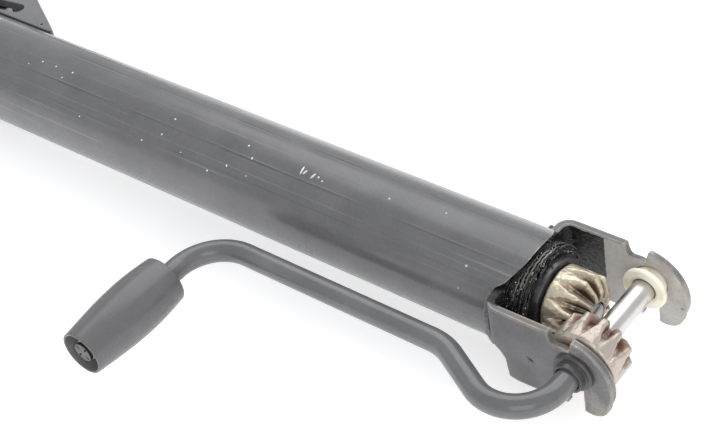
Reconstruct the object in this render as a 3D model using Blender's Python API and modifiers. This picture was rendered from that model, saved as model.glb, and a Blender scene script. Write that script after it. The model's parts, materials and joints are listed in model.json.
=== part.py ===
"""Column jack for lifting a car at its side.

A round steel column lies along +X, from its foot at X = 0 to its head. A screw spindle turns inside the
column. The crank shaft crosses the head along Y, with the crank on the -Y side, and turns the spindle
through two equal bevel gears. The spindle drives a nut whose stem passes through a slot on the +Y side
of the column and carries the lifting arm. The folding planes of the arm and the foot are horizontal,
so both of their pins stand along Z.
"""

from math import acos, atan, cos, degrees, pi, radians, sin, sqrt, tan

import bmesh
import bpy
from mathutils import Matrix, Vector

mm = 0.001

# Clearances
GAP = 0.3 * mm  # between pieces that touch
SLOT_PLAY = 0.6 * mm  # each side of the nut's stem in the column's slot

# Column
TUBE_OD = 50 * mm
TUBE_WALL = 2.5 * mm
TUBE_LENGTH = 520.3 * mm  # as far as the bracket's web
VISOR = 10.2 * mm  # how far the column's top reaches out over the web
VISOR_SIDE = ((3.7 * mm, 17.5 * mm), (8.5 * mm, 22.8 * mm))  # its edge, past the web and up
TUBE_START = 12 * mm  # from the foot's sole to the column's lower end
SLOT_WIDTH = 14.6 * mm
TRAVEL = 280 * mm  # of the lifting carriage

# Spindle and its bearing
SPINDLE_D = 16 * mm
NECK_D = 10 * mm  # where the spindle passes the web, and at its foot
RACE_UPPER = 4.2 * mm
RACE_LOWER = 3.3 * mm
RACE_R = 17.5 * mm
BALL_D = 4.2 * mm
BALL_COUNT = 8
CAGE_THICKNESS = 1.6 * mm
COLLAR_R = 12 * mm
COLLAR_LENGTH = 7 * mm
FOOT_BUSH_LENGTH = 7 * mm
FOOT_CLIP = 1.2 * mm

# Bevel gears
TEETH = 12
MODULE = 2.35 * mm
PRESSURE_ANGLE = radians(20)
BACKLASH = 0.36 * mm
GEAR_HUB = 12 * mm  # from the pitch circle's plane to the gear's back
GEAR_WALL = 0.9 * mm  # between a tooth's root and the bore, at the gear's front
GEAR_RIM = 1.5 * mm  # from the pitch circle to the blank's rim
GEAR_PIN_R = 1.5 * mm

# Head bracket, a bent strip
SHEET = 3.4 * mm
BEND_R = 3 * mm  # inside the bends
CHEEK_TOP = 14.6 * mm
CHEEK_BOTTOM = -21.8 * mm
EAR_R = 19.3 * mm
EAR_CENTRE = (-2.9 * mm, -5.1 * mm)  # from the crank shaft, along X and Z
LOBE_R = 8.2 * mm
LOBE_CENTRE = (6.2 * mm, -13.6 * mm)
NOTCH_START = -11.6 * mm  # the notch before the ear, from the crank shaft along X
NOTCH_END = -2.4 * mm
NOTCH_DEPTH = 6 * mm
NOTCH_CORNER = 2.4 * mm
SHAFT_SLOT = (-4.2 * mm, 3.2 * mm)  # the slot under the shaft, along X
SLANT_FOOT = 9 * mm  # how far the strip's lower corner is cut back

# Crank
ROD_D = 10 * mm
CRANK_ELBOW = 42.2 * mm  # first bend, out from the near cheek
CRANK_KNEE = 14.2 * mm  # second bend, out from the near cheek
CRANK_KNEE_BACK = 51.5 * mm  # second bend, back from the shaft
CRANK_THROW = 179.3 * mm
ELBOW_R = 19 * mm
KNEE_R = 25 * mm
WRIST_R = 22 * mm
SHAFT_TIP = 2.2 * mm  # of the shaft, past its clip

# Grip
GRIP_OUT = 43.5 * mm  # out from the near cheek
GRIP_LENGTH = 51 * mm
GRIP_NECK_R = 10.6 * mm
GRIP_BELLY_R = 13.2 * mm
GRIP_TIP_R = 10.4 * mm
GRIP_MOUTH_R = 7.2 * mm
GRIP_MOUTH_DEPTH = 7 * mm
WASHER = 1.1 * mm

# Bushes of the crank shaft
BUSH_WALL = 1.9 * mm
NEAR_FLANGE_R = 8.8 * mm
NEAR_FLANGE = 1.9 * mm
NEAR_COLLAR_R = 6.6 * mm
NEAR_REACH = 5.2 * mm  # of the near bush, out from its cheek
FAR_FLANGE_R = 9.8 * mm
FAR_FLANGE = 2.2 * mm
FAR_REACH = 5.7 * mm  # of the far bush, in from its cheek

# Lifting carriage
CHEEK = 5 * mm
PIVOT_X = 138 * mm
PIVOT_RISE = 32.7 * mm  # from the cheek's straight edge
PIVOT_R = 6 * mm
BOSS_R = 14.2 * mm
CARRIAGE_FOOT = 112 * mm
CARRIAGE_HEAD = 226.3 * mm
STEM_LENGTH = 64 * mm
STEM_RISE = 11.7 * mm  # past the cheeks' straight edge
WINDOW_LENGTH = 24 * mm
WINDOW_WIDTH = 7 * mm
WINDOW_TILT = radians(8)
RIVET_R = 3 * mm
STOP_R = 3 * mm

# Lifting arm, from its pivot outwards
ARM_WIDTH = 24 * mm
ARM_TAIL = 16 * mm
ARM_FLAT = 54 * mm
ARM_TUBE_OD = 25 * mm
ARM_TUBE_WALL = 2.5 * mm
ARM_TUBE_LENGTH = 78 * mm
SPIGOT = 28 * mm
PEG_COLLAR_R = 16 * mm
PEG_COLLAR = 4 * mm
PEG_R = 9 * mm
PEG_LENGTH = 40 * mm
ARM_RIVET_R = 2.5 * mm

# Foot
SOLE = 4 * mm
SOLE_HALF_Y = 42 * mm
SOLE_HALF_Z = 37 * mm
LUG = 4 * mm
LUG_R = 13 * mm
FOOT_PIN_X = 30 * mm
FOOT_PIN_R = 5 * mm
FOOT_PIN_HEAD = 2.6 * mm

# Derived places
TUBE_R = TUBE_OD / 2
TUBE_END = TUBE_START + TUBE_LENGTH
WEB_BACK = TUBE_END + GAP
WEB_FACE = WEB_BACK + SHEET
BEARING_STACK = RACE_LOWER + BALL_D + RACE_UPPER + 4 * GAP
PITCH_R = TEETH * MODULE / 2
GEAR_BACK = PITCH_R + GEAR_HUB
CRANK_X = WEB_FACE + BEARING_STACK + GEAR_BACK
HALF_GAP = GEAR_BACK + GAP  # from the column's axis to a cheek's inner face
HALF_WIDTH = HALF_GAP + SHEET
GEAR_BLANK_R = PITCH_R + GEAR_RIM
GRIP_START = -HALF_WIDTH - GRIP_OUT
BUSH_R = ROD_D / 2 + GAP + BUSH_WALL
STEM_HALF = SLOT_WIDTH / 2 - SLOT_PLAY
CHEEK_INNER = STEM_HALF + GAP
CHEEK_OUTER = CHEEK_INNER + CHEEK
CARRIAGE_EDGE = sqrt(TUBE_R**2 - CHEEK_INNER**2) + GAP
PIVOT_Y = CARRIAGE_EDGE + PIVOT_RISE
STEM_REACH = CARRIAGE_EDGE + STEM_RISE
STEM_START = CARRIAGE_FOOT + 1 * mm
SPINDLE_START = FOOT_PIN_X + FOOT_PIN_R + 1.5 * mm
FOOT_BUSH_START = SPINDLE_START + 2 * FOOT_CLIP + GAP
NECK_START = TUBE_END - COLLAR_LENGTH - 6 * mm
LUG_INNER = TUBE_R + 1.5 * mm
LUG_OUTER = LUG_INNER + LUG

X, Y, Z = Vector((1, 0, 0)), Vector((0, 1, 0)), Vector((0, 0, 1))


# ---------------------------------------------------------------- scene and materials


def clear_scene():
    for obj in list(bpy.data.objects):
        bpy.data.objects.remove(obj, do_unlink=True)


def collection(name):
    made = bpy.data.collections.new(name)
    bpy.context.scene.collection.children.link(made)
    return made


def material(name, colour, roughness, metallic):
    made = bpy.data.materials.new(name)
    made.use_nodes = True
    shader = made.node_tree.nodes["Principled BSDF"]
    shader.inputs["Base Color"].default_value = (*colour, 1)
    shader.inputs["Roughness"].default_value = roughness
    shader.inputs["Metallic"].default_value = metallic
    return made


clear_scene()
JACK = collection("car_jack")
CUTTERS = collection("cutters")
PAINT = material("black_paint", (0.045, 0.045, 0.048), 0.32, 0.0)
BRACKET_PAINT = material("worn_bracket_steel", (0.08, 0.08, 0.085), 0.42, 0.6)
STEEL = material("bright_steel", (0.62, 0.61, 0.59), 0.3, 1.0)
ZINC = material("yellow_zinc", (0.66, 0.57, 0.38), 0.38, 1.0)
RUST = material("browned_steel", (0.42, 0.33, 0.28), 0.5, 1.0)
BUSHING = material("cream_bush", (0.78, 0.73, 0.55), 0.45, 0.0)
PLASTIC = material("black_plastic", (0.03, 0.03, 0.032), 0.5, 0.0)


# ---------------------------------------------------------------- shapes


def link(obj, target=None):
    (target or JACK).objects.link(obj)
    return obj


def place(obj, finish, joint=None):
    """Gives a piece its material and hangs it on the empty that stands on its joint's axis."""
    obj.data.materials.clear()
    obj.data.materials.append(finish)
    if joint is not None:
        obj.parent = joint
        obj.matrix_parent_inverse = Matrix.Translation(joint.location).inverted()
    return obj


def joint_empty(name, location):
    empty = bpy.data.objects.new(name, None)
    empty.location = location
    empty.empty_display_size = 0.02
    return link(empty)


def along(direction):
    """The rotation that turns +Z to this direction."""
    return Z.rotation_difference(direction).to_matrix().to_4x4()


def smooth(obj):
    obj.data.shade_smooth()
    obj.data.set_sharp_from_angle(angle=radians(35))
    return obj


def cylinder(name, radius, start, end, segments=24, target=None):
    start, end = Vector(start), Vector(end)
    mesh = bpy.data.meshes.new(name)
    shape = bmesh.new()
    bmesh.ops.create_cone(
        shape,
        cap_ends=True,
        segments=segments,
        radius1=radius,
        radius2=radius,
        depth=(end - start).length,
    )
    shape.to_mesh(mesh)
    shape.free()
    obj = link(bpy.data.objects.new(name, mesh), target)
    obj.matrix_world = Matrix.Translation((start + end) / 2) @ along(end - start)
    return smooth(obj)


def block(name, low, high, target=None):
    low, high = Vector(low), Vector(high)
    mesh = bpy.data.meshes.new(name)
    shape = bmesh.new()
    bmesh.ops.create_cube(shape, size=1)
    bmesh.ops.scale(shape, vec=high - low, verts=shape.verts)
    shape.to_mesh(mesh)
    shape.free()
    obj = link(bpy.data.objects.new(name, mesh), target)
    obj.location = (low + high) / 2
    return obj


def turned(name, profile, origin, direction, steps=28, target=None):
    """Turns a profile of (radius, height) points. A ring's profile is closed; a solid's ends on the axis.

    The points run down the outer side, from the top to the bottom.
    """
    mesh = bpy.data.meshes.new(name)
    shape = bmesh.new()
    points = [shape.verts.new((radius, 0, height)) for radius, height in profile]
    for here, there in zip(points, points[1:]):
        shape.edges.new((here, there))
    if profile[0][0] > 0:
        shape.edges.new((points[-1], points[0]))
    shape.to_mesh(mesh)
    shape.free()
    obj = link(bpy.data.objects.new(name, mesh), target)
    obj.matrix_world = Matrix.Translation(origin) @ along(direction)
    screw = obj.modifiers.new("turn", "SCREW")
    screw.steps = screw.render_steps = steps
    screw.use_merge_vertices = True
    screw.merge_threshold = 0.00001
    screw.use_smooth_shade = True
    return obj


def ring(name, inner, outer, start, length, direction, steps=28, target=None):
    """A plain ring. start is the middle of its first face, and it runs along direction."""
    profile = [(outer, length), (outer, 0), (inner, 0), (inner, length)]
    return turned(name, profile, start, direction, steps, target)


def mesh_of_curve(curve_object, name, target=None):
    """Replaces a curve object by a welded mesh of the same shape."""
    graph = bpy.context.evaluated_depsgraph_get()
    mesh = bpy.data.meshes.new_from_object(curve_object.evaluated_get(graph))
    shape = bmesh.new()
    shape.from_mesh(mesh)
    bmesh.ops.remove_doubles(shape, verts=shape.verts, dist=0.000001)
    bmesh.ops.recalc_face_normals(shape, faces=shape.faces)
    shape.to_mesh(mesh)
    shape.free()
    obj = link(bpy.data.objects.new(name, mesh), target)
    obj.matrix_world = curve_object.matrix_world.copy()
    bpy.data.objects.remove(curve_object, do_unlink=True)
    return obj


def plate(name, outline, low, high, normal=Z, target=None):
    """A flat outline of (u, v) points, between two heights on its normal.

    With normal Z the points are X and Y. With normal Y they are X and Z.
    """
    curve = bpy.data.curves.new(name, "CURVE")
    curve.dimensions = "2D"
    curve.fill_mode = "BOTH"
    curve.extrude = (high - low) / 2
    spline = curve.splines.new("POLY")
    spline.points.add(len(outline) - 1)
    for point, (u, v) in zip(spline.points, outline):
        point.co = (u, v, 0, 1)
    spline.use_cyclic_u = True
    obj = link(bpy.data.objects.new(name + "_outline", curve), target)
    turn = Matrix.Rotation(pi / 2, 4, "X") if normal is Y else Matrix()
    obj.matrix_world = Matrix.Translation(normal * (low + high) / 2) @ turn
    bpy.context.view_layer.update()
    return mesh_of_curve(obj, name, target)


def arc(centre, radius, start, end, count):
    """Points on an arc, its angles in degrees."""
    steps = [radians(start + (end - start) * i / count) for i in range(count + 1)]
    return [(centre[0] + radius * cos(a), centre[1] + radius * sin(a)) for a in steps]


def boolean(obj, other, operation):
    other.hide_render = True
    other.display_type = "WIRE"
    modifier = obj.modifiers.new(other.name, "BOOLEAN")
    modifier.operation = operation
    modifier.object = other
    return obj


def drill(obj, radius, start, end, name, segments=16):
    return boolean(obj, cylinder(name, radius, start, end, segments, CUTTERS), "DIFFERENCE")


def rounded_path(corners, radii, count=7):
    """The corners of a bent rod, with each inner corner as an arc of its own radius."""
    points = [Vector(corners[0])]
    for before, corner, after, radius in zip(corners, corners[1:], corners[2:], radii):
        before, corner, after = Vector(before), Vector(corner), Vector(after)
        come, go = (corner - before).normalized(), (after - corner).normalized()
        turn = acos(come.dot(go))
        start = corner - come * radius * tan(turn / 2)
        inward = (go - come * come.dot(go)).normalized()
        centre = start + inward * radius
        for i in range(count + 1):
            a = turn * i / count
            points.append(centre + (come * sin(a) - inward * cos(a)) * radius)
    return points + [Vector(corners[-1])]


# ---------------------------------------------------------------- joints


JOINTS = {
    "spindle": joint_empty("spindle_axis", (CRANK_X, 0, 0)),
    "cage": joint_empty("cage_axis", (WEB_FACE, 0, 0)),
    "crank": joint_empty("crank_axis", (CRANK_X, 0, 0)),
    "grip": joint_empty("grip_axis", (CRANK_X - CRANK_THROW, GRIP_START, 0)),
    "carriage": joint_empty("carriage_slide", (PIVOT_X, 0, 0)),
    "arm": joint_empty("arm_pivot", (PIVOT_X, PIVOT_Y, 0)),
    "foot": joint_empty("foot_pivot", (FOOT_PIN_X, 0, 0)),
}


# ---------------------------------------------------------------- column and spindle


def make_column():
    length = TUBE_LENGTH + VISOR
    tube = ring("column_tube", TUBE_R - TUBE_WALL, TUBE_R, (TUBE_START, 0, 0), length, X, 56)
    past, above = TUBE_END + 2 * VISOR, TUBE_R + 1 * mm
    side = [(TUBE_END, -TUBE_R - 1 * mm), (past, -TUBE_R - 1 * mm), (past, above), (TUBE_END + VISOR, above)]
    side += [(TUBE_END + out, up) for out, up in reversed(VISOR_SIDE)] + [(TUBE_END, CHEEK_TOP + 2 * GAP)]
    visor = plate("visor_cutter", side, -TUBE_OD, TUBE_OD, Y, CUTTERS)
    boolean(tube, visor, "DIFFERENCE")
    slot_start = STEM_START - 6 * mm
    slot_end = STEM_START + STEM_LENGTH + TRAVEL + 6 * mm
    half = SLOT_WIDTH / 2
    outline = arc((slot_end, 0), half, -90, 90, 8) + arc((slot_start, 0), half, 90, 270, 8)
    slot = plate("slot_cutter", outline, 0, TUBE_R + 5 * mm, Y, CUTTERS)
    boolean(tube, slot, "DIFFERENCE")
    pin = FOOT_PIN_R + GAP
    drill(tube, pin, (FOOT_PIN_X, 0, -TUBE_OD), (FOOT_PIN_X, 0, TUBE_OD), "foot_pin_hole")
    place(tube, PAINT)


def make_spindle():
    neck, thread = NECK_D / 2, SPINDLE_D / 2
    top = CRANK_X - gear_front(NECK_D) - SPINDLE_START
    foot_end = FOOT_BUSH_START + FOOT_BUSH_LENGTH + GAP - SPINDLE_START
    neck_start = NECK_START - SPINDLE_START
    groove = 0.8 * mm
    groove_start = FOOT_BUSH_START - GAP - FOOT_CLIP - GAP - SPINDLE_START
    groove_end = groove_start + FOOT_CLIP + GAP
    profile = [
        (0, top),
        (neck - 1 * mm, top),
        (neck, top - 1 * mm),
        (neck, neck_start),
        (thread, neck_start - 1.5 * mm),
        (thread, foot_end),
        (neck, foot_end),
        (neck, groove_end),
        (neck - groove, groove_end),
        (neck - groove, groove_start),
        (neck, groove_start),
        (neck, 0),
        (0, 0),
    ]
    spindle = turned("spindle", profile, (SPINDLE_START, 0, 0), X, 24)
    drill_gear_pin(spindle, "spindle_pin_hole", CRANK_X - pin_distance(), X)
    place(spindle, STEEL, JOINTS["spindle"])

    inner = neck - groove + GAP
    start = (FOOT_BUSH_START - GAP - FOOT_CLIP, 0, 0)
    clip = ring("spindle_clip", inner, neck + 3 * mm, start, FOOT_CLIP - 0.1 * mm, X, 24)
    place(clip, STEEL, JOINTS["spindle"])

    start = (TUBE_END - COLLAR_LENGTH, 0, 0)
    collar = ring("spindle_collar", neck + GAP, COLLAR_R, start, COLLAR_LENGTH - GAP, X, 24)
    place(collar, STEEL, JOINTS["spindle"])

    start = (FOOT_BUSH_START, 0, 0)
    outer = TUBE_R - TUBE_WALL - GAP
    bush = ring("spindle_foot_bush", neck + GAP, outer, start, FOOT_BUSH_LENGTH, X)
    place(bush, BUSHING)


def make_bearing():
    """The thrust bearing that carries the spindle on the bracket's web."""
    neck = NECK_D / 2
    lower = WEB_FACE + GAP
    balls = lower + RACE_LOWER + GAP + BALL_D / 2
    upper = balls + BALL_D / 2 + GAP
    race = ring("bearing_race_lower", neck + 2 * GAP, RACE_R + 1 * mm, (lower, 0, 0), RACE_LOWER, X)
    place(race, STEEL)
    race = ring("bearing_race_upper", neck + GAP, RACE_R, (upper, 0, 0), RACE_UPPER, X)
    place(race, STEEL, JOINTS["spindle"])

    pitch = (neck + RACE_R) / 2
    cage_start = (balls - CAGE_THICKNESS / 2, 0, 0)
    reach = BALL_D / 2 + 2 * mm
    cage = ring("bearing_cage", pitch - reach, pitch + reach, cage_start, CAGE_THICKNESS, X)
    for i in range(BALL_COUNT):
        turn = 2 * pi * i / BALL_COUNT
        centre = Vector((balls, pitch * cos(turn), pitch * sin(turn)))
        ends = centre - X * BALL_D, centre + X * BALL_D
        drill(cage, BALL_D / 2 + 1.5 * GAP, *ends, f"ball_pocket_{i + 1}", 12)
        place(ball(f"bearing_ball_{i + 1}", BALL_D / 2, centre), STEEL, JOINTS["cage"])
    place(cage, ZINC, JOINTS["cage"])


def ball(name, radius, centre):
    mesh = bpy.data.meshes.new(name)
    shape = bmesh.new()
    bmesh.ops.create_uvsphere(shape, u_segments=10, v_segments=6, radius=radius)
    shape.to_mesh(mesh)
    shape.free()
    obj = link(bpy.data.objects.new(name, mesh))
    obj.location = centre
    return smooth(obj)


# ---------------------------------------------------------------- bevel gears


def tooth_outline():
    """The gears' outline as (slope, angle) points: radius over distance from the shafts' crossing.

    Every tooth line passes through that crossing, so one outline serves the whole face. The flanks are
    involutes on the back cone, where a 12-tooth mitre gear works as one with 12 / cos 45 teeth.
    """
    pitch_cone = PITCH_R * sqrt(2)
    base = pitch_cone * cos(PRESSURE_ANGLE)
    tip = pitch_cone + MODULE
    root = pitch_cone - 1.25 * MODULE
    thickness = (pi * MODULE / 2 - BACKLASH / 2) / (2 * pitch_cone)

    def involute(radius):
        pressure = acos(base / radius)
        return tan(pressure) - pressure

    def half_angle(radius):
        return thickness + involute(pitch_cone) - involute(max(radius, base))

    def on_cone(radius, angle):
        """A point of the developed back cone, as slope and angle about the gear's axis."""
        across = radius / sqrt(2)
        distance = 2 * PITCH_R - across
        return across / distance, angle * sqrt(2)

    flank = [root + (tip - root) * i / 5 for i in range(6)]
    rising = [on_cone(r, -half_angle(r)) for r in flank]
    falling = [on_cone(r, half_angle(r)) for r in reversed(flank)]
    pitch = 2 * pi / TEETH
    return [(slope, angle + pitch * i) for i in range(TEETH) for slope, angle in rising + falling]


def gear_front(shaft_d):
    """From the shafts' crossing to the front of this shaft's gear, as far as its roots clear the bore."""
    root_slope = min(slope for slope, _ in tooth_outline())
    return (shaft_d / 2 + GAP + GEAR_WALL) / root_slope


def bevel_gear(name, shaft_d, across, back, phase):
    """A mitre gear at the shafts' crossing. It stands along back, and a tooth points along across."""
    front = gear_front(shaft_d)
    near, far = front - 3 * mm, GEAR_BACK + 3 * mm
    mesh = bpy.data.meshes.new(name + "_teeth")
    shape = bmesh.new()
    points = [
        shape.verts.new((near * slope * cos(angle + phase), near * slope * sin(angle + phase), near))
        for slope, angle in tooth_outline()
    ]
    base = shape.faces.new(points)
    base.normal_flip()
    grown = bmesh.ops.extrude_face_region(shape, geom=[base], use_keep_orig=True)
    for vert in grown["geom"]:
        if isinstance(vert, bmesh.types.BMVert):
            vert.co *= far / near
    bmesh.ops.recalc_face_normals(shape, faces=shape.faces)
    shape.to_mesh(mesh)
    shape.free()
    frame = Matrix((across, back.cross(across), back)).transposed().to_4x4()
    frame.translation = (CRANK_X, 0, 0)
    teeth = link(bpy.data.objects.new(name + "_teeth", mesh), CUTTERS)
    teeth.matrix_world = frame

    bore = shaft_d / 2 + GAP
    tip_slope = max(slope for slope, _ in tooth_outline())
    chamfer = 1 * mm
    profile = [
        (bore, GEAR_BACK),
        (GEAR_BLANK_R - chamfer, GEAR_BACK),
        (GEAR_BLANK_R, GEAR_BACK - chamfer),
        (GEAR_BLANK_R, GEAR_BLANK_R / tip_slope + chamfer),
        (front * tip_slope, front),
        (bore, front),
    ]
    blank = turned(name, profile, (CRANK_X, 0, 0), back)
    boolean(blank, teeth, "INTERSECT")
    return blank


def pin_distance():
    """From the shafts' crossing to the middle of a gear's cross pin."""
    return GEAR_BACK - GEAR_PIN_R - 1.2 * mm


def drill_gear_pin(obj, name, distance, axis):
    centre = axis * distance
    drill(obj, GEAR_PIN_R + GAP, centre - Z * GEAR_BLANK_R * 1.2, centre + Z * GEAR_BLANK_R * 1.2, name)


def make_gears():
    spindle_gear = bevel_gear("spindle_gear", NECK_D, -Y, -X, 0)
    drill_gear_pin(spindle_gear, "spindle_gear_pin_hole", CRANK_X - pin_distance(), X)
    place(spindle_gear, ZINC, JOINTS["spindle"])
    centre, reach = X * (CRANK_X - pin_distance()), Z * (GEAR_BLANK_R - 0.4 * mm)
    pin = cylinder("spindle_gear_pin", GEAR_PIN_R, centre - reach, centre + reach, 16)
    place(pin, STEEL, JOINTS["spindle"])

    pinion = bevel_gear("crank_pinion", ROD_D, -X, -Y, pi / TEETH)
    centre = Vector((CRANK_X, -pin_distance(), 0))
    hole = Z * GEAR_BLANK_R * 1.2
    drill(pinion, GEAR_PIN_R + GAP, centre - hole, centre + hole, "pinion_pin_hole")
    place(pinion, RUST, JOINTS["crank"])
    pin = cylinder("crank_pinion_pin", GEAR_PIN_R, centre - reach, centre + reach, 16)
    place(pin, STEEL, JOINTS["crank"])


# ---------------------------------------------------------------- head bracket


def cheek_outline():
    """The side of the strip, as X and Z from the crank shaft."""
    back = -(CRANK_X - WEB_BACK) - 1 * mm
    front = back + 1 * mm + SHEET
    slot_start, slot_end = SHAFT_SLOT
    ear_top = 85
    slot_top = BUSH_R / 2
    notch_floor = CHEEK_TOP - NOTCH_DEPTH
    cut = SLANT_FOOT
    return (
        [(back, CHEEK_TOP), (NOTCH_START, CHEEK_TOP)]
        + arc((NOTCH_START + 1.4 * NOTCH_CORNER, notch_floor + NOTCH_CORNER), NOTCH_CORNER, 180, 270, 5)
        + [(NOTCH_END, notch_floor)]
        + arc(EAR_CENTRE, EAR_R, ear_top, -25, 16)
        + arc(LOBE_CENTRE, LOBE_R, -5, -112, 10)
        + [(slot_end, -slot_top), (slot_start, -slot_top), (slot_start, CHEEK_BOTTOM + 1 * mm)]
        + [(front + cut + 2 * mm, CHEEK_BOTTOM), (front + cut - 2.4 * mm, CHEEK_BOTTOM + 1 * mm)]
        + [(front + 0.6 * cut, CHEEK_BOTTOM / 2), (front, CHEEK_BOTTOM / 6), (back, 0)]
    )


def make_bracket():
    web, face = WEB_BACK, WEB_FACE
    outer_bend, reach = BEND_R + SHEET, CRANK_X + 40 * mm
    inner, outer = HALF_GAP, HALF_WIDTH
    bend_x = face + BEND_R
    near, far = (bend_x, -inner + BEND_R), (bend_x, inner - BEND_R)
    strip = (
        [(reach, -outer)]
        + list(reversed(arc(near, outer_bend, 180, 270, 8)))
        + list(reversed(arc(far, outer_bend, 90, 180, 8)))
        + [(reach, outer), (reach, inner)]
        + arc(far, BEND_R, 90, 180, 8)
        + arc(near, BEND_R, 180, 270, 8)
        + [(reach, -inner)]
    )
    height = (CHEEK_BOTTOM - 1 * mm, CHEEK_TOP + 1 * mm)
    bracket = plate("head_bracket", strip, *height)
    side = [(CRANK_X + x, z) for x, z in cheek_outline()]
    cheeks = plate("cheek_sides", side, -outer - 5 * mm, outer + 5 * mm, Y, CUTTERS)
    boolean(bracket, cheeks, "INTERSECT")
    disc = cylinder("web_disc", TUBE_R - 3.5 * mm, (web, 0, 0), (face, 0, 0), 48, CUTTERS)
    boolean(bracket, disc, "UNION")
    hole = NECK_D / 2 + 2 * GAP
    drill(bracket, hole, (web - SHEET, 0, 0), (face + SHEET, 0, 0), "spindle_hole")
    ends = (CRANK_X, -outer - SHEET, 0), (CRANK_X, outer + SHEET, 0)
    drill(bracket, BUSH_R + GAP, *ends, "bush_holes")
    place(bracket, BRACKET_PAINT)


# ---------------------------------------------------------------- crank


def make_crank():
    ring_start = HALF_WIDTH + GAP
    shaft_end = ring_start + WASHER + 2 * GAP + SHAFT_TIP
    knee_y = -HALF_WIDTH - CRANK_KNEE
    corners = [
        (0, shaft_end, 0),
        (0, -HALF_WIDTH - CRANK_ELBOW, 0),
        (-CRANK_KNEE_BACK, knee_y, 0),
        (-CRANK_THROW, knee_y, 0),
        (-CRANK_THROW, GRIP_START - GRIP_LENGTH + 2 * mm, 0),
    ]
    path = rounded_path(corners, (ELBOW_R, KNEE_R, WRIST_R))
    curve = bpy.data.curves.new("crank_path", "CURVE")
    curve.dimensions = "3D"
    curve.bevel_depth = ROD_D / 2
    curve.bevel_resolution = 4
    curve.use_fill_caps = True
    spline = curve.splines.new("POLY")
    spline.points.add(len(path) - 1)
    for point, place_at in zip(spline.points, path):
        point.co = (*place_at, 1)
    obj = link(bpy.data.objects.new("crank_path", curve))
    obj.location = (CRANK_X, 0, 0)
    bpy.context.view_layer.update()
    rod = smooth(mesh_of_curve(obj, "crank_rod"))

    groove = ROD_D / 2 - 0.8 * mm
    washer_start = GRIP_START - GRIP_LENGTH + GRIP_MOUTH_DEPTH - GAP
    cuts = (
        ("shaft_groove", (CRANK_X, ring_start, 0), Y),
        ("grip_groove", (CRANK_X - CRANK_THROW, washer_start + GAP, 0), -Y),
    )
    for name, start, way in cuts:
        cutter = ring(name, groove, ROD_D, start, WASHER + 2 * GAP, way, 32, CUTTERS)
        boolean(rod, cutter, "DIFFERENCE")
    centre, hole = Vector((CRANK_X, -pin_distance(), 0)), Z * ROD_D
    drill(rod, GEAR_PIN_R + GAP, centre - hole, centre + hole, "crank_pin_hole")
    place(rod, PAINT, JOINTS["crank"])

    start = (CRANK_X, ring_start + GAP, 0)
    clip = ring("shaft_clip", groove + GAP, ROD_D / 2 + 3 * mm, start, WASHER, Y, 24)
    place(clip, STEEL, JOINTS["crank"])
    start = (CRANK_X - CRANK_THROW, washer_start, 0)
    washer = ring("grip_washer", groove + GAP, GRIP_MOUTH_R - GAP, start, WASHER, -Y, 24)
    place(washer, STEEL, JOINTS["crank"])


def make_grip():
    """A moulded barrel that turns on the rod. Its mouth holds the washer that keeps it on."""
    bore = ROD_D / 2 + GAP
    belly = GRIP_LENGTH * 0.42
    outer = [
        (bore, GRIP_LENGTH),
        (GRIP_NECK_R - 1.2 * mm, GRIP_LENGTH),
        (GRIP_NECK_R, GRIP_LENGTH - 1.2 * mm),
    ]
    for i in range(1, 6):
        share = i / 5
        swell = sin(share * pi / 2)
        radius = GRIP_NECK_R + (GRIP_BELLY_R - GRIP_NECK_R) * swell
        outer.append((radius, GRIP_LENGTH - 1.2 * mm - belly * share))
    low = GRIP_LENGTH - 1.2 * mm - belly
    for i in range(1, 6):
        share = i / 5
        fall = 1 - cos(share * pi / 2)
        radius = GRIP_BELLY_R - (GRIP_BELLY_R - GRIP_TIP_R) * fall
        outer.append((radius, low - (low - 1.2 * mm) * share))
    outer += [
        (GRIP_TIP_R - 1.2 * mm, 0),
        (GRIP_MOUTH_R, 0),
        (GRIP_MOUTH_R, GRIP_MOUTH_DEPTH),
        (bore, GRIP_MOUTH_DEPTH),
    ]
    start = (CRANK_X - CRANK_THROW, GRIP_START - GRIP_LENGTH, 0)
    place(turned("crank_grip", outer, start, Y), PLASTIC, JOINTS["grip"])


def make_bushes():
    bore = ROD_D / 2 + GAP
    barrel = SHEET + 0.2 * mm
    near = [
        (BUSH_R, barrel + NEAR_REACH),
        (BUSH_R, NEAR_REACH),
        (NEAR_FLANGE_R, NEAR_REACH),
        (NEAR_FLANGE_R, NEAR_REACH - NEAR_FLANGE + 0.6 * mm),
        (NEAR_FLANGE_R - 0.8 * mm, NEAR_REACH - NEAR_FLANGE),
        (NEAR_COLLAR_R, NEAR_REACH - NEAR_FLANGE),
        (NEAR_COLLAR_R, 0),
        (bore, 0),
        (bore, barrel + NEAR_REACH),
    ]
    start = (CRANK_X, -HALF_WIDTH - GAP - NEAR_REACH, 0)
    place(turned("near_bush", near, start, Y), PLASTIC)
    far = [
        (BUSH_R, FAR_REACH + barrel),
        (BUSH_R, FAR_FLANGE),
        (FAR_FLANGE_R, FAR_FLANGE),
        (FAR_FLANGE_R, 0.6 * mm),
        (FAR_FLANGE_R - 0.6 * mm, 0),
        (bore, 0),
        (bore, FAR_REACH + barrel),
    ]
    start = (CRANK_X, HALF_GAP - GAP - FAR_REACH, 0)
    place(turned("far_bush", far, start, Y), BUSHING)


# ---------------------------------------------------------------- lifting carriage


def carriage_outline():
    """A cheek's outline: square at the column, and slanted from the head end up to the pivot's boss."""
    run, rise = CARRIAGE_HEAD - PIVOT_X, PIVOT_Y - CARRIAGE_EDGE
    reach = sqrt(run**2 + rise**2)
    tangent = degrees(acos(BOSS_R / reach) - atan(rise / run))
    head = (CARRIAGE_HEAD, CARRIAGE_EDGE)
    foot = (CARRIAGE_FOOT, CARRIAGE_EDGE)
    return [foot, head] + arc((PIVOT_X, PIVOT_Y), BOSS_R, tangent, 200, 12)


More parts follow.
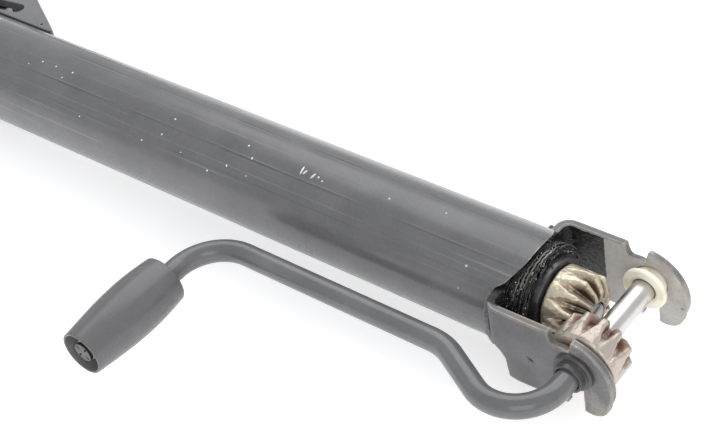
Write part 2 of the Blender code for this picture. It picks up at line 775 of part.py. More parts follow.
def make_carriage():
    joint = JOINTS["carriage"]
    rivets_y = CARRIAGE_EDGE + RIVET_R + 3 * mm
    rivets = [(STEM_START + 10 * mm, rivets_y), (STEM_START + STEM_LENGTH - 9 * mm, rivets_y)]
    stop_out = ARM_WIDTH / 2 + STOP_R + GAP
    stop = (PIVOT_X + stop_out, PIVOT_Y - stop_out)
    holes = [(*spot, RIVET_R) for spot in rivets] + [(*stop, STOP_R), (PIVOT_X, PIVOT_Y, PIVOT_R)]

    body_r = TUBE_R - TUBE_WALL - 2 * mm
    nut = ring("lift_nut", SPINDLE_D / 2 + GAP, body_r, (STEM_START, 0, 0), STEM_LENGTH, X)
    stem_low = (STEM_START, SPINDLE_D / 2 + 4 * mm, -STEM_HALF)
    stem_high = (STEM_START + STEM_LENGTH, STEM_REACH, STEM_HALF)
    boolean(nut, block("nut_stem", stem_low, stem_high, CUTTERS), "UNION")
    for i, (x, y) in enumerate(rivets):
        drill(nut, RIVET_R + GAP, (x, y, -TUBE_R), (x, y, TUBE_R), f"nut_rivet_hole_{i + 1}")
    place(nut, STEEL, joint)

    window_x = CARRIAGE_HEAD - 33 * mm - WINDOW_LENGTH / 2
    window_y = CARRIAGE_EDGE + 2.6 * mm + WINDOW_WIDTH / 2
    half, run = WINDOW_WIDTH / 2, (WINDOW_LENGTH - WINDOW_WIDTH) / 2
    slot = arc((run, 0), half, -90, 90, 8) + arc((-run, 0), half, 90, 270, 8)
    lean = Matrix.Rotation(WINDOW_TILT, 2)
    slot = [tuple(lean @ Vector(point) + Vector((window_x, window_y))) for point in slot]
    for side, name in ((1, "carriage_cheek_upper"), (-1, "carriage_cheek_lower")):
        low, high = sorted((side * CHEEK_INNER, side * CHEEK_OUTER))
        cheek = plate(name, carriage_outline(), low, high)
        for i, (x, y, radius) in enumerate(holes):
            ends = (x, y, low - CHEEK), (x, y, high + CHEEK)
            drill(cheek, radius + GAP, *ends, f"{name}_hole_{i + 1}")
        window = plate(name + "_window", slot, low - CHEEK, high + CHEEK, Z, CUTTERS)
        boolean(cheek, window, "DIFFERENCE")
        place(cheek, PAINT, joint)

    for i, (x, y) in enumerate(rivets):
        place(rivet(f"carriage_rivet_{i + 1}", RIVET_R, x, y, CHEEK_OUTER), STEEL, joint)
    place(rivet("arm_stop_pin", STOP_R, *stop, CHEEK_OUTER), STEEL, joint)


def rivet(name, radius, x, y, half_grip, head=1.7):
    """A rivet along Z with a domed head at each end of its grip."""
    head_r, dome = head * radius, 0.55 * radius
    seat = half_grip + GAP
    upper = [(head_r * sin(a), seat + dome * cos(a)) for a in (0, radians(32), radians(64), pi / 2)]
    upper[0] = (0, seat + dome)
    profile = upper + [(radius, seat), (radius, -seat)]
    profile += [(r, -h) for r, h in reversed(upper)]
    return turned(name, profile, (x, y, 0), Z, 16)


def make_arm():
    joint = JOINTS["arm"]
    half, bore = ARM_WIDTH / 2, PIVOT_R + GAP
    outline = [
        (PIVOT_X + half, PIVOT_Y - ARM_TAIL),
        (PIVOT_X + half, PIVOT_Y + ARM_FLAT),
        (PIVOT_X - half, PIVOT_Y + ARM_FLAT),
        (PIVOT_X - half, PIVOT_Y - ARM_TAIL + half),
        (PIVOT_X - half / 2, PIVOT_Y - ARM_TAIL),
    ]
    root = plate("arm_root", outline, -STEM_HALF, STEM_HALF)
    spigot_r = ARM_TUBE_OD / 2 - ARM_TUBE_WALL - GAP
    flat_end = PIVOT_Y + ARM_FLAT
    ends = (PIVOT_X, flat_end - 8 * mm, 0), (PIVOT_X, flat_end + SPIGOT, 0)
    spigot = cylinder("arm_spigot", spigot_r, *ends, 24, CUTTERS)
    boolean(root, spigot, "UNION")
    drill(root, bore, (PIVOT_X, PIVOT_Y, -TUBE_R), (PIVOT_X, PIVOT_Y, TUBE_R), "pivot_hole")

    tube_start = flat_end + GAP
    tube_end = tube_start + ARM_TUBE_LENGTH
    tube_r = ARM_TUBE_OD / 2
    start = (PIVOT_X, tube_start, 0)
    tube = ring("arm_tube", tube_r - ARM_TUBE_WALL, tube_r, start, ARM_TUBE_LENGTH, Y)
    collar = tube_end + GAP
    chamfer = 2 * mm
    peg_profile = [
        (0, PEG_COLLAR + PEG_LENGTH),
        (PEG_R - chamfer, PEG_COLLAR + PEG_LENGTH),
        (PEG_R, PEG_COLLAR + PEG_LENGTH - chamfer),
        (PEG_R, PEG_COLLAR),
        (PEG_COLLAR_R, PEG_COLLAR),
        (PEG_COLLAR_R, 0),
        (spigot_r, 0),
        (spigot_r, -SPIGOT),
        (0, -SPIGOT),
    ]
    peg = turned("lift_peg", peg_profile, (PIVOT_X, collar, 0), Y)

    spots = (tube_start + SPIGOT / 2, tube_end - SPIGOT / 2)
    for i, (holder, y) in enumerate(zip((root, peg), spots)):
        ends = (PIVOT_X, y, -ARM_TUBE_OD), (PIVOT_X, y, ARM_TUBE_OD)
        drill(holder, ARM_RIVET_R + GAP, *ends, f"arm_rivet_hole_{i + 1}")
        drill(tube, ARM_RIVET_R + GAP, *ends, f"arm_tube_hole_{i + 1}")
        place(rivet(f"arm_rivet_{i + 1}", ARM_RIVET_R, PIVOT_X, y, tube_r), STEEL, joint)
    place(root, PAINT, joint)
    place(tube, PAINT, joint)
    place(peg, STEEL, joint)

    head = 3 * mm
    groove = PIVOT_R - 1 * mm
    clip_start = CHEEK_OUTER + GAP
    profile = [
        (0, CHEEK_OUTER + GAP + head),
        (PIVOT_R + 3 * mm, CHEEK_OUTER + GAP + head),
        (PIVOT_R + 3 * mm, CHEEK_OUTER + GAP),
        (PIVOT_R, CHEEK_OUTER + GAP),
        (PIVOT_R, -clip_start),
        (groove, -clip_start),
        (groove, -clip_start - WASHER - 2 * GAP),
        (PIVOT_R, -clip_start - WASHER - 2 * GAP),
        (PIVOT_R, -clip_start - WASHER - 2 * mm),
        (0, -clip_start - WASHER - 2 * mm),
    ]
    pin = turned("arm_pivot_pin", profile, (PIVOT_X, PIVOT_Y, 0), Z, 24)
    place(pin, STEEL, JOINTS["carriage"])
    start = (PIVOT_X, PIVOT_Y, -clip_start - GAP)
    clip = ring("arm_pivot_clip", groove + GAP, PIVOT_R + 3 * mm, start, WASHER, -Z, 24)
    place(clip, STEEL, JOINTS["carriage"])


# ---------------------------------------------------------------- foot


def make_foot():
    """The sole plate, with two lugs that hold the column's lower end."""
    joint = JOINTS["foot"]
    rounding = 8 * mm
    corner_y, corner_z = SOLE_HALF_Y - rounding, SOLE_HALF_Z - rounding
    outline = []
    for sign_y, sign_z, start in ((1, 1, 0), (-1, 1, 90), (-1, -1, 180), (1, -1, 270)):
        centre = (sign_y * corner_y, sign_z * corner_z)
        outline += arc(centre, rounding, start, start + 90, 6)
    sole = plate("foot_plate", outline, 0, SOLE)
    sole.matrix_world = Matrix(((0, 0, 1, 0), (1, 0, 0, 0), (0, 1, 0, 0), (0, 0, 0, 1))) @ sole.matrix_world
    base_half = LUG_R + 6 * mm
    lug = [(SOLE / 2, base_half), (SOLE / 2, -base_half)]
    lug += arc((FOOT_PIN_X, 0), LUG_R, -80, 80, 12)
    for side, name in ((1, "upper"), (-1, "lower")):
        low, high = sorted((side * LUG_INNER, side * LUG_OUTER))
        boolean(sole, plate(f"{name}_lug", lug, low, high, Z, CUTTERS), "UNION")
    ends = (FOOT_PIN_X, 0, -LUG_OUTER - LUG), (FOOT_PIN_X, 0, LUG_OUTER + LUG)
    drill(sole, FOOT_PIN_R + GAP, *ends, "lug_holes")
    place(sole, PAINT, joint)

    groove = FOOT_PIN_R - 1 * mm
    clip_start = LUG_OUTER + GAP
    profile = [
        (0, LUG_OUTER + GAP + FOOT_PIN_HEAD),
        (FOOT_PIN_R + 3 * mm, LUG_OUTER + GAP + FOOT_PIN_HEAD),
        (FOOT_PIN_R + 3 * mm, LUG_OUTER + GAP),
        (FOOT_PIN_R, LUG_OUTER + GAP),
        (FOOT_PIN_R, -clip_start),
        (groove, -clip_start),
        (groove, -clip_start - WASHER - 2 * GAP),
        (FOOT_PIN_R, -clip_start - WASHER - 2 * GAP),
        (FOOT_PIN_R, -clip_start - WASHER - 1.5 * mm),
        (0, -clip_start - WASHER - 1.5 * mm),
    ]
    pin = turned("foot_pin", profile, (FOOT_PIN_X, 0, 0), Z, 24)
    place(pin, STEEL)
    start = (FOOT_PIN_X, 0, -clip_start - GAP)
    clip = ring("foot_pin_clip", groove + GAP, FOOT_PIN_R + 3 * mm, start, WASHER, -Z, 24)
    place(clip, STEEL)


make_column()
make_spindle()
make_bearing()
make_gears()
make_bracket()
make_crank()
make_grip()
make_bushes()
make_carriage()
make_arm()
make_foot()
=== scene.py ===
# %% [markdown]
# # A column jack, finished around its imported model
# This jack lifts a car by its side. A crank turns two bevel gears in an open head, the gears turn a long
# screw inside a steel tube, and a nut on that screw carries the lifting arm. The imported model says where
# every part is and how it moves. This lesson gives each part its real surface: rolled edges, a cut thread,
# greased gear teeth, and enamel that is chipped and worn. Sizes are in metres, and mm is a thousandth.

# %% Tools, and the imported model
import json
import random
from math import acos, asin, atan2, cos, degrees, hypot, pi, radians, sin, sqrt, tan

import bmesh
import bpy
from mathutils import Matrix, Vector

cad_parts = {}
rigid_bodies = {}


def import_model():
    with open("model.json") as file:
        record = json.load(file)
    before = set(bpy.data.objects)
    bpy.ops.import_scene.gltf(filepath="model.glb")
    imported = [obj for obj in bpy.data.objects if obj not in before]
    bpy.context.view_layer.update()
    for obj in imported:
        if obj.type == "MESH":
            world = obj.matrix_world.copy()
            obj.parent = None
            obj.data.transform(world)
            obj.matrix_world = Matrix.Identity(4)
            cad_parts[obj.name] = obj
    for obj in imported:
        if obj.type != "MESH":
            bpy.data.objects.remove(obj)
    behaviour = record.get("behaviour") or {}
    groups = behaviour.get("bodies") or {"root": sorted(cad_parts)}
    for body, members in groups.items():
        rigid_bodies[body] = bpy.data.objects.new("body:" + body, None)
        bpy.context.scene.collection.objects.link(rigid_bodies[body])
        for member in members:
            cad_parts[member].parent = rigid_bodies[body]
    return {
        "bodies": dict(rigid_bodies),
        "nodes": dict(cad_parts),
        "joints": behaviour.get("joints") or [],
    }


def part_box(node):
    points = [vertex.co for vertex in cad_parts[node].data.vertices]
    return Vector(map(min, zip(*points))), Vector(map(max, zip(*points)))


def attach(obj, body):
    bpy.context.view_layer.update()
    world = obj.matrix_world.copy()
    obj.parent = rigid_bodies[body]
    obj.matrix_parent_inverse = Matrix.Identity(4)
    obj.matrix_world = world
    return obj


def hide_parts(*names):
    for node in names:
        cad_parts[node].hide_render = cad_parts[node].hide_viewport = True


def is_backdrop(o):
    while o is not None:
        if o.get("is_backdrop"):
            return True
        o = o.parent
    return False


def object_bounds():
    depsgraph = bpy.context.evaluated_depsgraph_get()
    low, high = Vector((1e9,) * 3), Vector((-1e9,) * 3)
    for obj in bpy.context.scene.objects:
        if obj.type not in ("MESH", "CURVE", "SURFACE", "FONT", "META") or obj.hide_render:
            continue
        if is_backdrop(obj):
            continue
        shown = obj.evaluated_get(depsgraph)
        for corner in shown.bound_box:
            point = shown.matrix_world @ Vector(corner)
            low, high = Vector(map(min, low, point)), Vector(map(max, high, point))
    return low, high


mm = 0.001
for leftover in list(bpy.data.objects):
    bpy.data.objects.remove(leftover, do_unlink=True)
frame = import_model()
cad_low, cad_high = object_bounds()
print("bodies:", ", ".join(frame["bodies"]))
print("size in mm:", [round(side / mm, 1) for side in cad_high - cad_low])

# %% [markdown]
# ## The viewpoint
# The camera looks down on the head from the crank's side. The real jack rests on its crank, so it leans in
# the picture. Here the jack stays level and the camera is rolled by the same amount, which is simpler than
# tilting every part. A long lens keeps the tube's two edges nearly parallel.

# %% Camera
CAMERA_PLACE = Vector((0.82502, -0.36845, 0.45668))
CAMERA_AZIMUTH, CAMERA_ELEVATION, CAMERA_ROLL = radians(46.26), radians(41.04), radians(-11.65)
LENS = 81.85  # millimetres


def camera_turn(azimuth, elevation, roll):
    forward = Vector((-sin(azimuth) * cos(elevation), cos(azimuth) * cos(elevation), -sin(elevation)))
    level = Vector((cos(azimuth), sin(azimuth), 0))
    raised = level.cross(forward)
    right = level * cos(roll) + raised * sin(roll)
    up = -level * sin(roll) + raised * cos(roll)
    return Matrix((right, up, -forward)).transposed().to_4x4()


camera_data = bpy.data.cameras.new("camera")
camera_data.lens = LENS
camera_data.clip_start = 0.01
camera = bpy.data.objects.new("camera", camera_data)
bpy.context.scene.collection.objects.link(camera)
turn = camera_turn(CAMERA_AZIMUTH, CAMERA_ELEVATION, CAMERA_ROLL)
camera.matrix_world = Matrix.Translation(CAMERA_PLACE) @ turn
bpy.context.scene.camera = camera
bpy.context.scene.view_settings.view_transform = "Standard"
print("camera looks along", [round(v, 2) for v in -turn.col[2].xyz])

# %% [markdown]
# ## Sizes read from the model
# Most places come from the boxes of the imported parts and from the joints, so a piece made here lands where
# its plain version is. Only sizes that a box can't tell, such as a bend's radius, are written down again.

# %% Places from the frame
joints = {joint["name"]: joint for joint in frame["joints"]}
CRANK_X = joints["crank_turn"]["pos_m"][0]
GRIP_X = joints["grip_spin"]["pos_m"][0]
PIVOT = Vector(joints["arm_fold"]["pos_m"])
FOOT_PIN_X = joints["foot_tilt"]["pos_m"][0]
X, Y, Z = Vector((1, 0, 0)), Vector((0, 1, 0)), Vector((0, 0, 1))

bracket_low, bracket_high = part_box("head_bracket")
SHEET, BEND_R = 3.4 * mm, 3 * mm
WEB_BACK, WEB_FACE = bracket_low.x, bracket_low.x + SHEET
tube_low, tube_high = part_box("column_tube")
TUBE_R, TUBE_START, TUBE_END = tube_high.z, tube_low.x, WEB_BACK - 0.3 * mm
TUBE_WALL, VISOR = 2.5 * mm, tube_high.x - TUBE_END
HALF_WIDTH = bracket_high.y
HALF_GAP = HALF_WIDTH - SHEET
nut_low, nut_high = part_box("lift_nut")
STEM_HALF = 6.7 * mm
print("tube", round(TUBE_START / mm, 1), "to", round(TUBE_END / mm, 1), "crank at", round(CRANK_X / mm, 1))

# %% [markdown]
# ## Helpers for shapes
# A machinist thinks in a few operations: turn a profile, cut a flat outline from plate, bend a rod. Each
# helper below is one of these. Real edges are never sharp, so each helper also rounds the corners, and the
# light then catches every edge as it does on a real part.

# %% Rounding a corner
MITRE = radians(24)  # a gentler turn than this belongs to a curve and stays


def softened(points, radius, closed=True, steps=3):
    """The outline with an arc at each corner."""
    made, count = [], len(points)
    for i, point in enumerate(points):
        here = Vector(point)
        before, after = Vector(points[i - 1]), Vector(points[(i + 1) % count])
        come, go = here - before, after - here
        is_end = not closed and i in (0, count - 1)
        if is_end or come.length < 1e-7 or go.length < 1e-7 or come.angle(go) < MITRE:
            made.append(here)
            continue
        corner = come.angle(go)
        short = min(come.length, go.length) * 0.45
        arc_r = min(radius, short / tan(corner / 2))
        come, go = come.normalized(), go.normalized()
        start = here - come * arc_r * tan(corner / 2)
        inward = (go - come * come.dot(go)).normalized()
        for j in range(steps + 1):
            a = corner * j / steps
            made.append(start + (come * sin(a) + inward * (1 - cos(a))) * arc_r)
    return made


def arc(centre, radius, start, end, count):
    """Points on an arc, its angles in degrees."""
    angles = [radians(start + (end - start) * i / count) for i in range(count + 1)]
    return [(centre[0] + radius * cos(a), centre[1] + radius * sin(a)) for a in angles]


print("a square's outline grows from 4 to", len(softened([(0, 0), (1, 0), (1, 1), (0, 1)], 0.1)), "points")

# %% Turning, plates and rods


def new_object(name, shape, to_place=None):
    """An object from a bmesh, with its place in its mesh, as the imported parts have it."""
    if to_place is not None:
        bmesh.ops.transform(shape, matrix=to_place, verts=shape.verts)
    bmesh.ops.recalc_face_normals(shape, faces=shape.faces)
    mesh = bpy.data.meshes.new(name)
    shape.to_mesh(mesh)
    shape.free()
    obj = bpy.data.objects.new(name, mesh)
    bpy.context.scene.collection.objects.link(obj)
    return obj


def add_skin(shape, rows, closed=False):
    """Joins rows of points, each a round ring, into a skin. A closed skin meets its own start."""
    for here, there in zip(rows, rows[1:] + (rows[:1] if closed else [])):
        for j in range(len(here)):
            k = (j + 1) % len(here)
            shape.faces.new((here[j], here[k], there[k], there[j]))


def along(direction):
    """The rotation that turns +Z to this direction."""
    return Z.rotation_difference(direction).to_matrix().to_4x4()


def turned(name, profile, origin, direction, steps=96, edge=0.3 * mm):
    """Turns (radius, height) points. A ring's profile is closed; a solid's ends on the axis."""
    is_ring = profile[0][0] > 0
    shape = bmesh.new()
    verts = [shape.verts.new((p[0], 0, p[1])) for p in softened(profile, edge, is_ring)]
    pairs = list(zip(verts, verts[1:])) + ([(verts[-1], verts[0])] if is_ring else [])
    edges = [shape.edges.new(pair) for pair in pairs]
    bmesh.ops.spin(shape, geom=verts + edges, axis=(0, 0, 1), angle=2 * pi, steps=steps, use_merge=True)
    bmesh.ops.remove_doubles(shape, verts=shape.verts, dist=0.002 * mm)
    return new_object(name, shape, Matrix.Translation(origin) @ along(direction))


def from_curve(name, curve, to_place=None):
    """A closed mesh from a curve, with its caps welded."""
    holder = bpy.data.objects.new(name + "_line", curve)
    bpy.context.scene.collection.objects.link(holder)
    graph = bpy.context.evaluated_depsgraph_get()
    mesh = bpy.data.meshes.new_from_object(holder.evaluated_get(graph))
    shape = bmesh.new()
    shape.from_mesh(mesh)
    bmesh.ops.remove_doubles(shape, verts=shape.verts, dist=0.002 * mm)
    bpy.data.objects.remove(holder, do_unlink=True)
    bpy.data.meshes.remove(mesh)
    return new_object(name, shape, to_place)


def plate(name, outline, low, high, holes=(), to_place=None, edge=0.45 * mm):
    """A flat outline cut from sheet between two heights, its edges rolled over by the press."""
    curve = bpy.data.curves.new(name, "CURVE")
    curve.dimensions = "2D"
    curve.fill_mode = "BOTH"
    curve.extrude = (high - low) / 2 - edge
    curve.bevel_depth, curve.bevel_resolution, curve.offset = edge, 2, -edge
    for points in (outline, *holes):
        spline = curve.splines.new("POLY")
        spline.points.add(len(points) - 1)
        for point, (u, v) in zip(spline.points, points):
            point.co = (u, v, 0, 1)
        spline.use_cyclic_u = True
    raised = Matrix.Translation(Z * (low + high) / 2)
    return from_curve(name, curve, (to_place or Matrix()) @ raised)


def rods(name, paths, radius, sides=6):
    """Round rods along lists of points. A point may have its own share of the radius as a fourth number."""
    curve = bpy.data.curves.new(name, "CURVE")
    curve.dimensions = "3D"
    curve.bevel_depth, curve.bevel_resolution = radius, sides // 2 - 2
    curve.use_fill_caps = True
    for points in paths:
        spline = curve.splines.new("POLY")
        spline.points.add(len(points) - 1)
        for point, place in zip(spline.points, points):
            point.co = (*place[:3], 1)
            point.radius = place[3] if len(place) > 3 else 1
    return from_curve(name, curve)


# %% Joining, cutting and finishing


def combined(obj, other, operation):
    """Unites two solids, or cuts the other from this one, and keeps the result as plain mesh."""
    modifier = obj.modifiers.new("cut", "BOOLEAN")
    modifier.operation, modifier.object = operation, other
    graph = bpy.context.evaluated_depsgraph_get()
    result = bpy.data.meshes.new_from_object(obj.evaluated_get(graph))
    obj.modifiers.clear()
    obj.data = result
    bpy.data.objects.remove(other, do_unlink=True)
    return obj


def bar(name, radius, start, end, steps=48):
    length = (Vector(end) - Vector(start)).length
    profile = [(0, length), (radius, length), (radius, 0), (0, 0)]
    return turned(name, profile, start, Vector(end) - Vector(start), steps, edge=0)


def slab(name, low, high):
    shape = bmesh.new()
    bmesh.ops.create_cube(shape, size=1)
    size, middle = Vector(high) - Vector(low), (Vector(low) + Vector(high)) / 2
    return new_object(name, shape, Matrix.Translation(middle) @ Matrix.Diagonal((*size, 1)))


def finished(obj, body, slot, *materials, stands_for=(), crease=34, rolled=0):
    """Shades a piece, gives it its materials, and hangs it on the body that carries it."""
    if rolled:
        bevel = obj.modifiers.new("rolled_edge", "BEVEL")
        bevel.width, bevel.segments, bevel.limit_method = rolled, 2, "ANGLE"
        bevel.angle_limit = radians(crease)
    obj.data.shade_smooth()
    obj.data.set_sharp_from_angle(angle=radians(crease))
    even = obj.modifiers.new("even_shading", "WEIGHTED_NORMAL")
    even.keep_sharp = True
    obj.data.materials.clear()
    for material in materials:
        obj.data.materials.append(material)
    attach(obj, body)
    if stands_for:
        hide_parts(*stands_for)
    print(f"{obj.name}: {len(obj.data.polygons)} faces on {body}")
    return obj


# %% [markdown]
# ## Helpers for materials
# A shader node tree is a small diagram. The class below places one node and joins its inputs in one call,
# so a material reads as a list of steps. An effect that several materials share becomes a node group with
# named inputs, in the way that a workshop makes a jig once and uses it for many parts.

# %% Nodes


class Diagram:
    """A node tree, with a method for each step that is used often. Its place is where patterns are read."""

    def __init__(self, tree):
        self.tree = tree

    def join(self, value, socket):
        """Joins another node's socket to this one, or sets this one. A colour is given without its alpha."""
        if isinstance(value, bpy.types.NodeSocket):
            self.tree.links.new(value, socket)
        else:
            socket.default_value = (*value, 1) if socket.type == "RGBA" else value

    def add(self, kind, inputs=None, **settings):
        """Places a node and returns its outputs."""
        made = self.tree.nodes.new("ShaderNode" + kind)
        for name, value in settings.items():
            setattr(made, name, value)
        for name, value in (inputs or {}).items():
            self.join(value, made.inputs[name])
        return made.outputs

    def maths(self, operation, *values):
        return self.add("Math", dict(enumerate(values)), operation=operation)[0]

    def times(self, first, second):
        return self.maths("MULTIPLY", first, second)

    def vector(self, operation, first, second):
        other = "Scale" if operation == "SCALE" else 1
        made = self.add("VectorMath", {0: first, other: second}, operation=operation)
        return made["Value" if operation == "DOT_PRODUCT" else "Vector"]

    def noise(self, scale, detail, place=None, output="Fac", **more):
        inputs = {"Vector": self.place if place is None else place, "Scale": scale, "Detail": detail, **more}
        return self.add("TexNoise", inputs)[output]

    def ramp(self, value, low, high, to_low=0.0, to_high=1.0):
        """Spreads the range from low to high over another range, and holds it at the ends."""
        ends = {"Value": value, "From Min": low, "From Max": high, "To Min": to_low, "To Max": to_high}
        return self.add("MapRange", ends)[0]


class Group(Diagram):
    """A node group, with a Vector and other named inputs."""

    def __init__(self, name, *outputs, **inputs):
        super().__init__(bpy.data.node_groups.new(name, "ShaderNodeTree"))
        for label, value in {"Vector": (0.0, 0.0, 0.0), **inputs}.items():
            kind = "NodeSocketVector" if isinstance(value, tuple) else "NodeSocketFloat"
            socket = self.tree.interface.new_socket(label, in_out="INPUT", socket_type=kind)
            socket.default_value = value
        for label in outputs:
            self.tree.interface.new_socket(label, in_out="OUTPUT", socket_type="NodeSocketFloat")
        self.given = self.tree.nodes.new("NodeGroupInput").outputs
        self.taken = self.tree.nodes.new("NodeGroupOutput").inputs
        self.place = self.given["Vector"]

    def done(self, **values):
        for label, value in values.items():
            self.join(value, self.taken[label])
        print(self.tree.name, "gives", ", ".join(values))
        return self.tree


# %% [markdown]
# ### Edge wear
# Paint wears through first where a hand, a shoe or another part rubs, which is on edges. The Bevel node
# gives the normal that a surface would have if its edges were rounded. Where that differs from the true
# normal there is an edge. Noise then breaks the band up, because wear is never even.

# %% Group: edge_wear


def make_edge_wear():
    jig = Group("edge_wear", "Mask", Width=0.8 * mm, Patch=220.0, Amount=0.5)
    rounded = jig.add("Bevel", {"Radius": jig.given["Width"]}, samples=6)[0]
    agree = jig.vector("DOT_PRODUCT", rounded, jig.add("NewGeometry")["Normal"])
    threshold = jig.times(jig.maths("SUBTRACT", 1.0, jig.given["Amount"]), 0.9)
    patchy = jig.maths("SUBTRACT", jig.noise(jig.given["Patch"], 6.0), threshold)
    return jig.done(Mask=jig.times(jig.ramp(agree, 0.995, 0.86), jig.ramp(patchy, -0.05, 0.08)))


edge_wear = make_edge_wear()

# %% [markdown]
# ### Chips
# A knock leaves a small bare spot with a torn outline. Voronoi cells scatter centres evenly, a share of the
# cells gets a chip, and each chip has its own size. Noise bends the coordinates so no chip is a circle.

# %% Group: paint_chips


def make_paint_chips():
    jig = Group("paint_chips", "Mask", Cell=13 * mm, Size=1.5 * mm, Share=0.3)
    shift = jig.vector("SCALE", jig.noise(900.0, 3.0, output="Color"), 1.9 * mm)
    density = jig.maths("DIVIDE", 1.0, jig.given["Cell"])
    cells = jig.add("TexVoronoi", {"Vector": jig.vector("ADD", jig.place, shift), "Scale": density})
    dice = jig.add("SeparateColor", {0: cells["Color"]})
    chosen = jig.maths("LESS_THAN", dice[0], jig.given["Share"])
    distance = jig.times(cells["Distance"], jig.given["Cell"])
    reach = jig.times(jig.given["Size"], jig.ramp(dice[1], 0, 1, 0.4, 1))
    return jig.done(Mask=jig.times(chosen, jig.maths("LESS_THAN", distance, reach)))


paint_chips = make_paint_chips()

# %% [markdown]
# ### Mottle and drawn lines
# No coat has one brightness. Mottle is soft noise at two scales, used for colour and for gloss. Drawn lines
# are long scratches along the tube, left by the die that it was pulled through and by years of sliding in a
# boot. They are noise that is stretched hard along one axis.

# %% Groups: mottle and drawn_lines


def make_mottle():
    jig = Group("mottle", "Value", Scale=60.0, Low=0.0, High=1.0)
    scale, low, high = (jig.given[label] for label in ("Scale", "Low", "High"))
    wide, fine = jig.noise(scale, 5.0), jig.noise(jig.times(scale, 14.0), 3.0)
    spread = jig.ramp(jig.maths("ADD", jig.times(wide, 0.7), jig.times(fine, 0.3)), 0.35, 0.65)
    return jig.done(Value=jig.maths("ADD", low, jig.times(spread, jig.maths("SUBTRACT", high, low))))


def make_drawn_lines():
    jig = Group("drawn_lines", "Height", "Lines", Stretch=(6.0, 700.0, 700.0), Sharpness=0.5)
    pulled = jig.vector("MULTIPLY", jig.place, jig.given["Stretch"])
    streaks = jig.noise(1.0, 4.0, pulled, Roughness=0.6)
    border = jig.maths("SUBTRACT", 0.72, jig.times(jig.given["Sharpness"], 0.1))
    return jig.done(Height=streaks, Lines=jig.ramp(streaks, border, 0.76))


mottle = make_mottle()
drawn_lines = make_drawn_lines()

# %% [markdown]
# ## Materials
# Each material starts from a Principled shader. The enamel is the main one: a dark satin coat with a faint
# orange-peel surface, pale chips, and bare metal at the edges. One function makes it with other values for
# the tube, the crank and the pressings, because they came out of different paint baths.

# %% A new material, and the enamel


class Surface(Diagram):
    """A material's tree. Its patterns follow the place on the model."""

    def __init__(self, name, **settings):
        self.material = bpy.data.materials.new(name)
        self.material.use_nodes = True
        super().__init__(self.material.node_tree)
        self.shader = self.tree.nodes["Principled BSDF"].inputs
        self.place = self.add("TexCoord")["Object"]
        self.set(**settings)

    def set(self, **values):
        """Joins or sets the shader's inputs. An underscore stands for the space in a label."""
        for label, value in values.items():
            self.join(value, self.shader[label.replace("_", " ")])

    def use(self, group, place=None, **inputs):
        """Places a group and returns its outputs."""
        made = self.tree.nodes.new("ShaderNodeGroup")
        made.node_tree = group
        for label, value in {"Vector": self.place if place is None else place, **inputs}.items():
            self.join(value, made.inputs[label])
        return made.outputs

    def mottled(self, scale, low=0.0, high=1.0, place=None):
        return self.use(mottle, place, Scale=scale, Low=low, High=high)[0]

    def coated(self, under, share, top):
        """One colour over another, by a share."""
        return self.add("Mix", {0: share, 6: under, 7: top}, data_type="RGBA")[2]

    def tinted(self, shade, green=1.0, blue=1.0):
        """A colour from one brightness, with its green and blue as shares of it."""
        return self.add("CombineColor", {0: shade, 1: self.times(shade, green), 2: self.times(shade, blue)})[0]

    def bump(self, height, strength, distance):
        """Raises the surface by a height, on top of any bump that is there."""
        inputs = {"Height": height, "Strength": strength, "Distance": distance}
        if self.shader["Normal"].is_linked:
            inputs["Normal"] = self.shader["Normal"].links[0].from_socket
        self.set(Normal=self.add("Bump", inputs)[0])

    def inside_box(self, low, high, blur, place=None):
        """1 inside a box of the model and 0 outside, with a soft border."""
        sides = self.add("SeparateXYZ", {0: self.place if place is None else place})
        share = 1.0
        for side, least, most in zip(sides, low, high):
            share = self.times(share, self.ramp(side, least - blur, least + blur))
            share = self.times(share, self.ramp(side, most + blur, most - blur))
        return share

    def shaken(self, scale, size):
        """The place, moved a little by noise, so that a border isn't straight."""
        moved = self.vector("SUBTRACT", self.noise(scale, 4.0, output="Color"), (0.5, 0.5, 0.5))
        return self.vector("ADD", self.place, self.vector("SCALE", moved, size))

    def long_line(self, angle, width):
        """A thin line along the tube, at an angle round its axis from +Y towards +Z."""
        sides = self.add("SeparateXYZ", {0: self.place})
        turn = self.maths("ARCTAN2", sides[2], sides[1])
        away = self.maths("ABSOLUTE", self.maths("SUBTRACT", turn, radians(angle)))
        return self.ramp(away, radians(width), 0.0)


